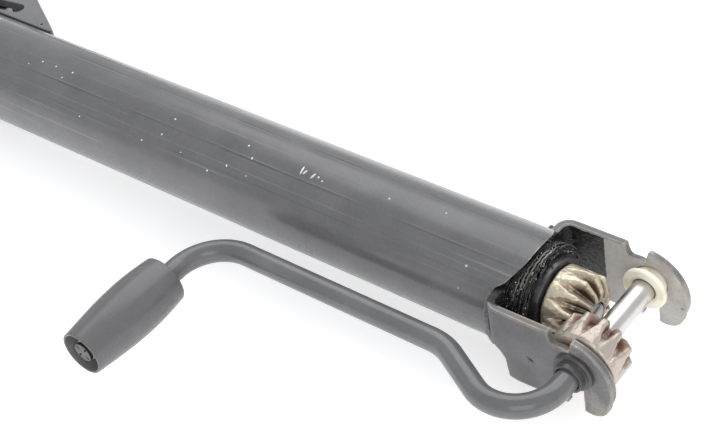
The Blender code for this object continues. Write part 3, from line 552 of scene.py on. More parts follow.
def enamel(name, tint, gloss, wear, chips, lines=0.0, size=1.5 * mm, cell=13 * mm, lit_and_shaded_seams=()):
    """Black satin enamel. Tint is its brightness, and wear and chips say how bare it has become."""
    skin = Surface(name, Specular_IOR_Level=0.6)
    coat = skin.tinted(skin.mottled(45.0, 0.86 * tint, 1.14 * tint), blue=1.035)
    scored = skin.use(drawn_lines, Stretch=(6.0, 700.0, 700.0), Sharpness=1.0)
    coat = skin.coated(coat, skin.times(scored["Lines"], lines), (tint * 2.6, tint * 2.6, tint * 2.7))
    ragged = skin.ramp(skin.mottled(30.0, -0.2, 1.1), 0, 1)
    # Seam lines in the coat: painted highlight and painted shade along the tube.
    for angle, width, share in lit_and_shaded_seams:
        coat = skin.coated(coat, skin.times(skin.long_line(angle, width), ragged), [tint * share] * 3)
    bare = skin.use(edge_wear, Width=0.7 * mm, Patch=260.0, Amount=wear)[0]
    spots = skin.use(paint_chips, Share=chips, Size=size, Cell=cell)[0]
    coat = skin.coated(skin.coated(coat, bare, (0.40, 0.385, 0.36)), spots, (0.56, 0.555, 0.53))
    dull = skin.mottled(25.0, gloss - 0.05, gloss + 0.07)
    skin.set(Base_Color=coat, Roughness=dull, Metallic=skin.times(bare, 0.8))
    skin.bump(skin.noise(1400.0, 2.0), 0.12, 0.05 * mm)
    skin.bump(scored["Height"], 0.10, 0.04 * mm)
    skin.bump(skin.times(skin.maths("ADD", bare, spots), -1.0), 0.6, 0.06 * mm)
    return skin.material


# Lines with a share above 1 are painted highlights and lines below 1 are painted shade, for the lit and shaded sides
# of the tube's seam lines. Each is its angle, its width in degrees, and its share of the coat's brightness.
TUBE_LIT_AND_SHADED_SEAMS = ((79, 1.0, 0.35), (80.6, 0.5, 2.4), (117, 0.5, 2.0), (119, 1.2, 0.45), (133, 0.4, 2.2), (141, 0.7, 0.5))
tube_enamel = enamel("tube_enamel", 0.118, 0.24, 0.45, 0.3, 0.7, 0.9 * mm, 12 * mm, TUBE_LIT_AND_SHADED_SEAMS)
crank_enamel = enamel("crank_enamel", 0.13, 0.19, 0.12, 0.06, size=0.9 * mm)
pressing_enamel = enamel("pressing_enamel", 0.15, 0.42, 0.55, 0.05)
print("enamels:", tube_enamel.name, crank_enamel.name, pressing_enamel.name)

# %% [markdown]
# ### The head's worn coat and its grease
# The head is the hand-worn part. Its coat is thin, its edges are bare, and the corner behind the gears is black with
# old grease. The faces inside the U are painted much paler, a painted light where the far cheek's inner face is lit.
# The grease has a clear border where the turning gear wiped it. A position in the model decides where it lies, so the
# border stays on the metal when the jack moves.

# %% Head enamel
GREASE_EDGE = CRANK_X - 21.2 * mm  # how far the grease reaches along the cheeks


def make_head_enamel():
    skin = Surface("head_enamel")
    coat = skin.tinted(skin.mottled(70.0, 0.095, 0.16), blue=1.04)
    side = HALF_GAP + 0.2 * mm
    # The faces inside the U get a much paler coat: a painted light for the far cheek's lit inner face.
    inner = skin.inside_box((WEB_FACE - 1 * mm, -side, -0.03), (0.6, side, 14.3 * mm), 0.1 * mm)
    lit_inner_coat = skin.tinted(skin.mottled(40.0, 0.43, 0.62), 0.97, 0.93)
    coat = skin.coated(coat, skin.times(inner, 0.9), lit_inner_coat)
    on_ear = skin.inside_box((CRANK_X - 4 * mm, -0.04, -0.04), (0.65, 0.04, 0.02), 4 * mm)
    rubbed = skin.ramp(skin.mottled(85.0, -0.7, 1.1, skin.shaken(300.0, 3 * mm)), 0, 1)
    coat = skin.coated(coat, skin.times(rubbed, skin.times(on_ear, 0.75)), (0.33, 0.295, 0.255))
    bare = skin.use(edge_wear, Width=1.9 * mm, Patch=380.0, Amount=0.92)[0]
    steel = skin.coated((0.62, 0.60, 0.57), skin.mottled(190.0), (0.34, 0.27, 0.21))
    yellow = skin.inside_box((CRANK_X - 27 * mm, -0.04, 13.4 * mm), (CRANK_X - 15 * mm, -0.02, 0.02), 2 * mm)
    coat = skin.coated(coat, bare, skin.coated(steel, yellow, (0.72, 0.60, 0.34)))
    specks = skin.use(paint_chips, Cell=7 * mm, Size=0.6 * mm, Share=0.35)[0]
    coat = skin.coated(coat, skin.times(specks, 0.7), (0.05, 0.048, 0.045))
    wavy, side = skin.shaken(260.0, 1.6 * mm), HALF_GAP + 0.6 * mm
    low = (WEB_BACK - 1 * mm, -side, -0.03)
    on_cheeks = skin.inside_box(low, (GREASE_EDGE, side, 14.0 * mm), 0.15 * mm, wavy)
    on_web = skin.inside_box(low, (WEB_FACE + 3 * mm, 20 * mm, 0.03), 0.3 * mm, wavy)
    greased = skin.maths("MAXIMUM", on_cheeks, on_web)
    black = skin.tinted(skin.mottled(420.0, 0.006, 0.028), 0.94, 0.92)
    wet = skin.add("Mix", {0: greased, 2: skin.mottled(90.0, 0.36, 0.52), 3: 0.22})[0]
    shine = skin.times(skin.times(bare, 0.75), skin.maths("SUBTRACT", 1.0, greased))
    skin.set(Base_Color=skin.coated(coat, greased, black), Roughness=wet, Metallic=shine)
    skin.bump(skin.noise(900.0, 5.0), 0.22, 0.08 * mm)
    skin.bump(skin.times(skin.noise(480.0, 6.0, Roughness=0.7), greased), 0.9, 0.9 * mm)
    skin.bump(skin.times(bare, -1.0), 0.6, 0.08 * mm)
    return skin.material


head_enamel = make_head_enamel()
print("grease reaches", round((GREASE_EDGE - WEB_FACE) / mm, 1), "mm from the web")

# %% [markdown]
# ### Metals, plastics and grease
# The shaft and pins are bright steel with fine marks from the lathe. The gears are pressed from powder and carry a
# yellow zinc coat on one and a brown stain on the other. On both, the tooth tops are painted paler, a painted
# highlight, and the flanks and hollows darker towards the roots, which is partly painted shade and partly brown rust
# in the hollows between the teeth. Their meshes carry a value named hollow, 0 on a tooth's top and 1 at its root, for
# that purpose.

# %% Metals


def metal(name, bright, dark, gloss, stretch=(9.0, 900.0, 900.0), stain=0.35, shine=1.0, grain=0.14):
    """Bare or plated metal, from bright to dark by mottle, with fine marks along one axis."""
    skin = Surface(name, Metallic=shine)
    tone = skin.coated(bright, skin.times(skin.mottled(110.0), stain), dark)
    skin.set(Base_Color=tone, Roughness=skin.mottled(160.0, gloss - 0.06, gloss + 0.10))
    skin.bump(skin.use(drawn_lines, Stretch=stretch)["Height"], grain, 0.05 * mm)
    return skin.material


def gear_metal(name, top, flank, hollow, gloss):
    """Tooth tops, flanks and hollows in three tones, with worn tops and dark specks. The pale tops and worn edges are
    partly painted highlight, and the darker flanks and hollows partly painted shade, with brown rust in the hollows.
    """
    skin = Surface(name, Metallic=0.6)
    depth = skin.add("Attribute", attribute_name="hollow")["Fac"]
    deep = skin.maths("ADD", depth, skin.mottled(170.0, -0.16, 0.16))
    # Paler tops are a painted highlight. Darker flanks and hollows are painted shade together with brown rust.
    tone = skin.coated(top, skin.ramp(deep, 0.05, 0.55), flank)
    tone = skin.coated(tone, skin.ramp(deep, 0.55, 1.0), hollow)
    bare = skin.use(edge_wear, Width=1.1 * mm, Patch=500.0, Amount=0.85)[0]
    tone = skin.coated(tone, skin.times(bare, 0.7), (0.86, 0.82, 0.72))
    skin.set(Base_Color=tone, Roughness=skin.mottled(300.0, gloss - 0.08, gloss + 0.14))
    skin.bump(skin.noise(1300.0, 4.0), 0.3, 0.08 * mm)
    skin.bump(skin.noise(330.0, 2.0), 0.75, 1.0 * mm)
    return skin.material


lathe_steel = metal("lathe_steel", (0.66, 0.65, 0.62), (0.40, 0.37, 0.33), 0.27, (700.0, 700.0, 700.0))
shaft_steel = metal("shaft_steel", (0.62, 0.61, 0.59), (0.38, 0.365, 0.335), 0.30, (900.0, 8.0, 900.0), grain=0.3)
greased_steel = metal("greased_steel", (0.12, 0.12, 0.125), (0.03, 0.03, 0.03), 0.24, stain=0.7, shine=0.7)
dull_steel = metal("dull_steel", (0.42, 0.41, 0.40), (0.20, 0.18, 0.16), 0.38, (300.0, 300.0, 300.0), stain=0.6)
# Pale steel for bare nicks in the enamel, and for flecks that are painted glints on the grease.
bright_fleck = metal("bright_fleck", (0.85, 0.85, 0.82), (0.55, 0.52, 0.46), 0.25, stain=0.6, shine=0.25)
# Steel painted almost black: a painted shade for the staked rod end and the washer deep inside the grip's mouth.
stake_steel = metal("stake_steel", (0.09, 0.088, 0.085), (0.03, 0.028, 0.026), 0.36, stain=0.7, shine=0.6)
# Grey steel for narrow lines that are painted glints on the grease.
olive_steel = metal("olive_steel", (0.36, 0.36, 0.33), (0.10, 0.098, 0.085), 0.28, stain=0.7, shine=0.4)
zinc_gear = gear_metal("zinc_gear", (0.58, 0.515, 0.40), (0.40, 0.325, 0.225), (0.11, 0.07, 0.04), 0.30)
brown_gear = gear_metal("brown_gear", (0.47, 0.415, 0.36), (0.27, 0.17, 0.125), (0.16, 0.062, 0.037), 0.32)
print("metals:", len(bpy.data.materials))

# %% Plastics and grease


def plastic(name, tone, dirt, gloss, dirt_share):
    """Moulded nylon: faint flow marks, a fine spark-eroded grain and dirt in patches."""
    skin = Surface(name)
    dirty = skin.times(skin.ramp(skin.mottled(130.0), 0.45, 1.0), dirt_share)
    skin.set(Base_Color=skin.coated(tone, dirty, dirt), Roughness=skin.mottled(60.0, gloss - 0.04, gloss + 0.06))
    skin.bump(skin.noise(2600.0, 2.0), 0.16, 0.05 * mm)
    return skin.material


def make_grease():
    skin = Surface("grease", Specular_IOR_Level=0.75)
    black = skin.tinted(skin.mottled(500.0, 0.004, 0.03), 0.92, 0.9)
    skin.set(Base_Color=black, Roughness=skin.mottled(260.0, 0.05, 0.26))
    skin.bump(skin.noise(1100.0, 4.0), 1.0, 0.6 * mm)
    return skin.material


cream_nylon = plastic("cream_nylon", (0.93, 0.89, 0.75), (0.62, 0.53, 0.35), 0.40, 0.6)
grip_plastic = plastic("grip_plastic", (0.12, 0.12, 0.122), (0.15, 0.15, 0.15), 0.26, 0.5)
bush_plastic = plastic("bush_plastic", (0.055, 0.055, 0.057), (0.12, 0.11, 0.10), 0.30, 0.5)
grease = make_grease()
print("materials:", len(bpy.data.materials))

# %% [markdown]
# ## The column
# The column is drawn tube with a slot milled along one side for the nut's stem. It is turned as a ring, and
# a round-ended block then cuts the slot. At the head the tube's lower side is cut back to the bracket's web,
# so its top reaches out over the web like the peak of a cap. A small bevel rounds all the cut edges.

# %% Column tube
SLOT_HALF = 7.3 * mm
SLOT_START, SLOT_END = nut_low.x - 6 * mm, nut_high.x + joints["carriage_travel"]["range_m"][1] + 6 * mm
PIN_PLAY, FOOT_PIN_R = 0.3 * mm, 5 * mm


def stadium(centre, run, half, tilt=0.0):
    """A slot's outline with round ends."""
    points = arc((run, 0), half, -90, 90, 16) + arc((-run, 0), half, 90, 270, 16)
    lean = Matrix.Rotation(tilt, 2)
    return [lean @ Vector(point) + Vector(centre) for point in points]


def ring(name, inner, outer, start, length, direction, steps=96, edge=0.3 * mm):
    profile = [(outer, length), (outer, 0), (inner, 0), (inner, length)]
    return turned(name, profile, start, direction, steps, edge)


def make_tube():
    length = tube_high.x - TUBE_START
    tube = ring("column", TUBE_R - TUBE_WALL, TUBE_R, X * TUBE_START, length, X, 160, 0.5 * mm)
    side = [(0, -30), (2 * VISOR / mm, -30), (2 * VISOR / mm, 30), (VISOR / mm, 30), (VISOR / mm, 26)]
    side += [(8.6, 23.2), (6.3, 20.6), (3.9, 17.8), (1.6, 16.2), (0, 15.2)]
    side = [(TUBE_END + x * mm, z * mm) for x, z in side]
    upright = Matrix.Rotation(pi / 2, 4, "X")
    combined(tube, plate("visor", side, -40 * mm, 40 * mm, to_place=upright, edge=0.01 * mm), "DIFFERENCE")
    slot = stadium(((SLOT_START + SLOT_END) / 2, 0), (SLOT_END - SLOT_START) / 2, SLOT_HALF)
    facing_y = Matrix.Rotation(-pi / 2, 4, "X")
    cutter = plate("slot", slot, 2 * mm, TUBE_R + 4 * mm, to_place=facing_y, edge=0.01 * mm)
    combined(tube, cutter, "DIFFERENCE")
    ends = (FOOT_PIN_X, 0, -0.03), (FOOT_PIN_X, 0, 0.03)
    combined(tube, bar("hole", FOOT_PIN_R + PIN_PLAY, *ends), "DIFFERENCE")
    return finished(tube, "column", "black_paint", tube_enamel, stands_for=["column_tube"], rolled=0.35 * mm)


make_tube()

# %% [markdown]
# ## The head bracket
# A press cuts a flat blank and bends it twice into a U. The same is done here: the blank's outline lies in
# a plane whose first axis runs along the strip, its edges are rolled, and then each point is carried round
# the two bends. Building it flat first keeps the sheet's thickness true everywhere, which a solid cut to
# shape wouldn't. Cuts across the bends let the flat faces curve.

# %% Blank of the bracket
CHEEK_TOP, CHEEK_BOTTOM = 14.6 * mm, -21.8 * mm
DISC_R = 21.5 * mm
HALF_FLAT = HALF_GAP - BEND_R
MID_BEND = BEND_R + SHEET / 2
BEND_RUN = MID_BEND * pi / 2
BEND_END_X = WEB_FACE + BEND_R
BUSH_HOLE = 7.5 * mm
SLOT_SIDES = (-4.2 * mm, 3.2 * mm)
NOTCH_DEPTH = 6 * mm
STRIP_LOW = 2.6 * mm  # how far the strip reaches below the axis beside the disc


def strip_u(x):
    """How far along the strip a place on a cheek is, from x beyond the crank's axis."""
    return HALF_FLAT + BEND_RUN + CRANK_X + x - BEND_END_X


def half_blank():
    """The blank's outline from the top of the web round the cheek to the bottom of the web."""
    ear, lobe = (-2.9 * mm, -5.1 * mm), (6.2 * mm, -13.6 * mm)
    web_top = degrees(asin(CHEEK_TOP / DISC_R))
    web_side = -degrees(asin(STRIP_LOW / DISC_R))
    left, right = SLOT_SIDES
    around = arc((0, 0), BUSH_HOLE, degrees(atan2(-6.78, 3.2)), degrees(atan2(-6.21, -4.2)) + 360, 40)
    floor_z = CHEEK_TOP - NOTCH_DEPTH
    cheek = [(-11.6 * mm, CHEEK_TOP), (-11.1 * mm, CHEEK_TOP - 2.6 * mm)]
    cheek += arc((-8.24 * mm, floor_z + 2.4 * mm), 2.4 * mm, 190, 262, 8)
    torn = random.Random(5)
    cheek += [((-7.8 + 0.6 * i) * mm, floor_z + torn.uniform(-0.05, 0.35) * mm) for i in range(9)]
    cheek += [(-2.4 * mm, floor_z)] + arc(ear, 19.3 * mm, 85, -25, 40)
    cheek += arc(lobe, 8.2 * mm, -5, -112, 24) + around + [(left, CHEEK_BOTTOM + 1 * mm)]
    cheek += [(-28.0 * mm, -21.8 * mm), (-32.4 * mm, -20.8 * mm), (-33.6 * mm, -10.9 * mm)]
    bend = [(HALF_FLAT + BEND_RUN, -7.6 * mm), (HALF_FLAT + BEND_RUN / 2, -4.9 * mm), (HALF_FLAT, -STRIP_LOW)]
    disc_top = arc((0, 0), DISC_R, 90, web_top, 16)
    disc_bottom = arc((0, 0), DISC_R, web_side, -90, 20)
    return disc_top + [(strip_u(x), z) for x, z in cheek] + bend + disc_bottom


def bent_place(u, v, t):
    """Carries a point of the blank round the bends. u runs along the strip, v up, and t out of the U."""
    side, run = (1 if u >= 0 else -1), abs(u)
    if run <= HALF_FLAT:
        return Vector((WEB_FACE - SHEET / 2 - t, -side * run, v))
    a = min((run - HALF_FLAT) / MID_BEND, pi / 2)
    past = max(run - HALF_FLAT - BEND_RUN, 0)
    radius = MID_BEND + t
    x = BEND_END_X - radius * cos(a) + past
    y = HALF_FLAT + radius * sin(a)
    return Vector((x, -side * y, v))


def make_bracket():
    right = half_blank()
    outline = softened(right + [(-u, v) for u, v in reversed(right[1:-1])], 0.7 * mm)
    spindle_hole = arc((0, 0), 5.6 * mm, 0, 350, 35)
    blank = plate("bracket", outline, -SHEET / 2, SHEET / 2, [spindle_hole], edge=0.55 * mm)
    shape = bmesh.new()
    shape.from_mesh(blank.data)
    for side in (-1, 1):
        for i in range(19):
            u = side * (HALF_FLAT + BEND_RUN * i / 18)
            everything = shape.verts[:] + shape.edges[:] + shape.faces[:]
            bmesh.ops.bisect_plane(shape, geom=everything, plane_co=(u, 0, 0), plane_no=(1, 0, 0), dist=1e-7)
    for vert in shape.verts:
        vert.co = bent_place(*vert.co)
    bmesh.ops.recalc_face_normals(shape, faces=shape.faces)
    shape.to_mesh(blank.data)
    shape.free()
    return finished(blank, "column", "bracket_steel", head_enamel, stands_for=["head_bracket"])


make_bracket()

# %% [markdown]
# ### Welds and burrs
# A weld bead joins the tube's end to the web on both sides. Its ripples come from the weld pool setting
# step by step, so the bead is a row of overlapping rings along an arc. The ear's notch was cut with a worn
# punch, which left bright curls of steel on its corners.

# %% Weld beads and burrs


def bead_path(side, count=90):
    """A fat line round the tube's side, whose thickness rises and falls with each ripple."""
    points = []
    for i in range(count + 1):
        a = radians(-40 + 74 * i / count)
        r = TUBE_R + 0.5 * mm + 0.25 * mm * sin(i * 1.7)
        x = WEB_BACK - 1.1 * mm + 0.15 * mm * cos(i * 2.3)
        swell = 0.82 + 0.18 * abs(sin(pi * i / 4.5))
        ends = min(1, 0.35 + min(i, count - i) / 7)
        points.append((x, side * r * cos(a), r * sin(a), swell * ends))
    return points


def make_welds():
    weld = rods("head_weld", [bead_path(1), bead_path(-1)], 1.7 * mm, 16)
    return finished(weld, "column", "black_paint", tube_enamel, crease=60)


def curl(centre, size, turns, seed):
    """A shaving that winds up as it leaves the punch."""
    dice = random.Random(seed)
    tilt = Matrix.Rotation(dice.uniform(-1, 1), 3, "X") @ Matrix.Rotation(dice.uniform(-0.6, 0.6), 3, "Z")
    points = []
    for i in range(13):
        a = turns * 2 * pi * i / 12
        r = size * (1 - 0.4 * i / 12) * dice.uniform(0.9, 1.1)
        local = tilt @ Vector((r * cos(a), size * (i / 12 - 0.5) * 0.8, r * sin(a)))
        points.append((*(Vector(centre) + local), 1 - 0.6 * i / 12))
    return points


def make_burrs():
    middle = HALF_WIDTH - SHEET / 2
    paths = []
    for side, count, reach in ((1, 9, 1.9), (-1, 4, 1.1)):
        dice = random.Random(20 + count)
        for i in range(count):
            x = CRANK_X + dice.uniform(-1.4, 2.2) * mm
            y = side * (middle + dice.uniform(-1.4, 1.4) * mm)
            z = 13.3 * mm + dice.uniform(-1.0, 0.3) * mm
            paths.append(curl((x, y, z), dice.uniform(0.5, reach) * mm, dice.uniform(0.5, 1.1), i + count))
    burrs = rods("notch_burrs", paths, 0.22 * mm, 8)
    return finished(burrs, "column", "bright_steel", lathe_steel, crease=60)


def make_mark():
    """A star of four strokes from a scribe, on the near cheek."""
    centre = Vector((CRANK_X - 20.6 * mm, -HALF_WIDTH - 0.02 * mm, -5.2 * mm))
    paths = []
    for angle, reach in ((15, 1.7), (62, 2.3), (118, 1.6), (155, 2.5)):
        way = Vector((cos(radians(angle)), 0, sin(radians(angle)))) * reach * mm
        paths.append([(*(centre - way), 0.4), (*centre, 1), (*(centre + way), 0.4)])
    return finished(rods("scribed_star", paths, 0.16 * mm, 8), "column", "black_paint", grease, crease=80)


make_welds()
make_burrs()
make_mark()

# %% [markdown]
# ## The bevel gears
# The two gears are equal, and the lines of their teeth all meet where the shafts cross. So the outline of
# the teeth is a slope for each angle: radius over distance from that crossing. One grid of rings makes the
# whole gear. Behind the working face the hollows run on as valleys, which narrow to a point before the back,
# as in a pressed gear. The slopes are averaged over a small angle, which rounds every corner.

# %% Gear mesh
TEETH, PITCH_R, MODULE = 12, 14.1 * mm, 2.35 * mm
PRESSURE = radians(20)
GEAR_FRONT, GEAR_BACK, BLANK_R = 8.3 * mm, 26.1 * mm, 15.6 * mm
VALLEY, VALLEY_WALL = 3.4 * mm, 4.3 * mm  # the hollows' depth behind the working face, and their walls' fall
CROWN = 0.25 * mm  # how far a tooth's top is rounded
TOOTH_STEPS = 24


def tooth_flank():
    """(angle from the tooth's middle, slope) of an involute flank, from tip to root."""
    cone = PITCH_R * sqrt(2)
    base, tip, root = cone * cos(PRESSURE), cone + MODULE, cone - 1.25 * MODULE
    half = (pi * MODULE / 2 - 0.18 * mm) / (2 * cone)

    def unwound(radius):
        pressure = acos(min(1, base / radius))
        return tan(pressure) - pressure

    points = []
    for i in range(9):
        radius = tip + (root - tip) * i / 8
        angle = (half + unwound(cone) - unwound(max(radius, base))) * sqrt(2)
        across = radius / sqrt(2)
        points.append((angle, across / (2 * PITCH_R - across)))
    return points


FLANK = tooth_flank()
TIP_SLOPE, ROOT_SLOPE = FLANK[0][1], FLANK[-1][1]


def slope_at(angle):
    """The outline's slope at an angle, by straight lines between the flank's points."""
    pitch = 2 * pi / TEETH
    away = abs((angle + pitch / 2) % pitch - pitch / 2)
    if away <= FLANK[0][0]:
        return TIP_SLOPE
    for (a0, s0), (a1, s1) in zip(FLANK, FLANK[1:]):
        if away <= a1:
            return s0 + (s1 - s0) * (away - a0) / max(a1 - a0, 1e-6)
    return ROOT_SLOPE


def soft_slope(angle, width=radians(1.9)):
    return sum(slope_at(angle + width * (i - 2) / 2) for i in range(5)) / 5


# At the back: distance ahead of it, how far the ring draws in, and how much of the valley is closed.
BACK_RINGS = ((0, 1.3, 1), (0.25, 0.7, 1), (0.9, 0.05, 1), (1.3, 0, 1), (1.6, 0, 0.75), (1.95, 0, 0.3), (2.4, 0, 0.05))


def gear_rings(bore):
    """Each ring as a function from angle to (radius, distance, hollow), from the bore's back to its front."""

    def ring_at(s, shrink=0.0, fade=0.0):
        depth = VALLEY * min(1, max(0, (GEAR_BACK - 1.6 * mm - s) / (8 * mm))) * (1 - fade)

        def point(angle):
            half_pitch = pi / TEETH
            from_top = abs((angle + half_pitch) % (2 * half_pitch) - half_pitch) / half_pitch
            valley = max(0, depth - VALLEY_WALL * (1 - from_top))
            top = min(s * TIP_SLOPE, BLANK_R)
            crown = CROWN * max(0, 1 - valley / mm) * from_top**2
            radius = min(s * soft_slope(angle), BLANK_R - valley) - crown
            return radius - shrink, s, min(1, (top - radius) / (3.6 * mm))

        return point

    def plain(radius, s):
        return lambda angle: (radius, s, 0.8)

    rings = [plain(bore, GEAR_BACK), plain(bore + 2 * mm, GEAR_BACK)]
    rings += [ring_at(GEAR_BACK - ahead * mm, shrink * mm, fade) for ahead, shrink, fade in BACK_RINGS]
    steps = 22
    first, last = GEAR_BACK - 2.9 * mm, GEAR_FRONT + 0.5 * mm
    rings += [ring_at(first + (last - first) * i / steps) for i in range(steps + 1)]
    rings += [ring_at(GEAR_FRONT + 0.15 * mm, 0.25 * mm), ring_at(GEAR_FRONT, 0.7 * mm)]
    rings += [plain(bore + 0.5 * mm, GEAR_FRONT), plain(bore, GEAR_FRONT + 0.4 * mm)]
    return rings


def bevel_gear(name, across, back, phase, seed, bore=5.3 * mm):
    """A gear at the shafts' crossing. It stands along back, and a tooth points along across."""
    dice = random.Random(seed)
    forging = [dice.uniform(-1, 0) * 0.45 * mm for _ in range(TEETH)]
    columns = TEETH * TOOTH_STEPS
    shape = bmesh.new()
    hollow = shape.verts.layers.float.new("hollow")
    rows = []
    for ring_point in gear_rings(bore):
        row = []
        for j in range(columns):
            angle = 2 * pi * j / columns
            radius, s, depth = ring_point(angle)
            if bore + 3 * mm < radius:
                radius += forging[int(j / TOOTH_STEPS + 0.5) % TEETH] * max(0, 1 - 1.4 * depth)
            vert = shape.verts.new((radius * cos(angle + phase), radius * sin(angle + phase), s))
            vert[hollow] = depth
            row.append(vert)
        rows.append(row)
    add_skin(shape, rows, closed=True)
    place = Matrix((across, back.cross(across), back)).transposed().to_4x4()
    place.translation = X * CRANK_X
    return new_object(name, shape, place)


gear = bevel_gear("gear_on_spindle", -Y, -X, 0, 3)
nodes = ["spindle_gear", "spindle_gear_pin"]
finished(gear, "spindle_drive", "yellow_zinc", zinc_gear, stands_for=nodes, crease=40)
pinion = bevel_gear("pinion_on_crank", -X, -Y, pi / TEETH, 8)
nodes = ["crank_pinion", "crank_pinion_pin"]
finished(pinion, "crank", "browned_steel", brown_gear, stands_for=nodes, crease=40)

# %% [markdown]
# ## Screw and thrust bearing
# The screw's thread is trapezoidal, which carries load better than a sharp one. It is a grid whose radius
# follows the distance from the thread's line, so the ridge winds round without a seam. The bearing takes
# the car's weight: two hardened rings with balls between them, black with grease.

# %% Screw
spindle_low, spindle_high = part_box("spindle")
SCREW_R = spindle_high.z
NECK_R = 5 * mm
THREAD_PITCH, THREAD_DEPTH = 4 * mm, 2 * mm
foot_bush_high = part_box("spindle_foot_bush")[1]
collar_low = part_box("spindle_collar")[0]
THREAD_START, THREAD_END = foot_bush_high.x + 0.6 * mm, collar_low.x - 8 * mm


def thread_radius(x, angle):
    """A trapezoid wave along a right-hand helix, which runs out at both ends of the screw."""
    wave = abs(((x / THREAD_PITCH - angle / (2 * pi)) % 1) - 0.5) * 4 - 1
    cut = THREAD_DEPTH * (0.5 - min(0.5, max(-0.5, wave * 1.25)))
    ends = min(1, (x - THREAD_START) / (2 * mm), (THREAD_END - x) / (4 * mm))
    return SCREW_R - cut * max(0, ends)


def make_screw():
    steps, rows_each = 40, 10
    count = int((THREAD_END - THREAD_START) / THREAD_PITCH * rows_each)
    groove = 0.8 * mm
    clip_low, clip_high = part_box("spindle_clip")
    profile = [(0, spindle_low.x), (NECK_R - 0.7 * mm, spindle_low.x), (NECK_R, spindle_low.x + 0.7 * mm)]
    profile += [(NECK_R, clip_low.x - 0.1 * mm), (NECK_R - groove, clip_low.x - 0.1 * mm)]
    profile += [(NECK_R - groove, clip_high.x + 0.1 * mm), (NECK_R, clip_high.x + 0.1 * mm), (NECK_R, THREAD_START)]
    profile += [(SCREW_R, THREAD_START + 0.3 * mm)]
    profile += [(None, THREAD_START + 0.4 * mm + (THREAD_END - THREAD_START) * i / count) for i in range(count)]
    profile += [(SCREW_R, THREAD_END + 0.5 * mm), (NECK_R, THREAD_END + 2 * mm)]
    profile += [(NECK_R, spindle_high.x - 0.8 * mm), (NECK_R - 0.8 * mm, spindle_high.x), (0, spindle_high.x)]
    shape = bmesh.new()
    rows = []
    for radius, x in profile:
        row = []
        for j in range(steps):
            a = 2 * pi * j / steps
            r = thread_radius(x, a) if radius is None else radius
            row.append(shape.verts.new((x, r * cos(a), r * sin(a))))
        rows.append(row)
    add_skin(shape, rows)
    bmesh.ops.remove_doubles(shape, verts=shape.verts, dist=0.002 * mm)
    screw = new_object("screw", shape)
    return finished(screw, "spindle_drive", "bright_steel", dull_steel, stands_for=["spindle"], crease=50)


make_screw()

# %% Bearing, collar and bushes


def middle_of(node):
    low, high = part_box(node)
    return (low + high) / 2


def from_box(name, node, body, slot, material, inner, direction=X, edge=0.3 * mm, steps=96):
    """A turned ring in the place of a plain one."""
    low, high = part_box(node)
    length, outer = (high - low).dot(direction), (high - low).dot(X if direction is Y else Y) / 2
    made = ring(name, inner, outer, middle_of(node) - direction * length / 2, length, direction, steps, edge)
    return finished(made, body, slot, material, stands_for=[node])


RUNNING_FIT = 0.3 * mm
BALLS = sorted(name for name in frame["nodes"] if name.startswith("bearing_ball_"))
from_box("race_on_web", "bearing_race_lower", "column", "bright_steel", greased_steel, NECK_R + 2 * RUNNING_FIT)
from_box("race_on_screw", "bearing_race_upper", "spindle_drive", "bright_steel", greased_steel, NECK_R + RUNNING_FIT)
from_box("thrust_collar", "spindle_collar", "spindle_drive", "bright_steel", dull_steel, NECK_R + RUNNING_FIT)
from_box("foot_end_bush", "spindle_foot_bush", "column", "cream_plastic", cream_nylon, NECK_R + RUNNING_FIT)


def make_balls():
    shape = bmesh.new()
    for node in BALLS:
        low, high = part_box(node)
        at = Matrix.Translation((low + high) / 2)
        bmesh.ops.create_uvsphere(shape, u_segments=24, v_segments=14, radius=(high.x - low.x) / 2, matrix=at)
    balls = new_object("bearing_balls", shape)
    return finished(balls, "bearing", "bright_steel", lathe_steel, stands_for=BALLS, crease=80)


def make_cage():
    low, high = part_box("bearing_cage")
    outer = high.y
    pitch = outer - 4.1 * mm
    cage = ring("ball_cage", 2 * pitch - outer, outer, X * low.x, high.x - low.x, X, 96, 0.2 * mm)
    for node in BALLS:
        middle = middle_of(node)
        combined(cage, bar("pocket", 2.5 * mm, middle - X * 4 * mm, middle + X * 4 * mm, 24), "DIFFERENCE")
    return finished(cage, "bearing", "yellow_zinc", greased_steel, stands_for=["bearing_cage"])


make_balls()
make_cage()

# %% [markdown]
# ### Grease
# Old grease pulls into strings between parts that turn and parts that don't. Around the bearing, narrow grey lines on
# arcs are painted glints on the grease, and in the corners the grease sits in crumbs. The strings are thin tapered
# rods on arcs about the screw's axis, and the crumbs are small lumpy balls. All of it stays clear of the gear.

# %% Grease strings and crumbs
race_low, race_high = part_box("bearing_race_upper")
WIPED_R = race_high.y + 0.7 * mm
# Painted glints on the grease, as narrow grey lines: radius, place ahead of the web, first and last angle, share of
# the thickness.
GLINT_LINES = ((21.0, 6.6, 60, 150, 1), (20.5, 5.2, 88, 162, 0.7), (20.1, 7.8, 70, 112, 0.6))
GLINT_LINES += ((21.5, 8.3, 66, 112, 0.9), (21.6, 7.0, 78, 132, 1.0))
GLINT_LINES += ((21.5, 5.4, 96, 150, 0.9), (21.4, 3.8, 112, 160, 0.8))
# Nicks in the column's enamel: place along it, angle and length.
NICKS = [(424.4, 108.6, 4.2), (426.3, 109.4, 2.4), (431.0, 110.0, 3.0), (433.8, 109.2, 0.9), (436.5, 111.5, 0.8)]


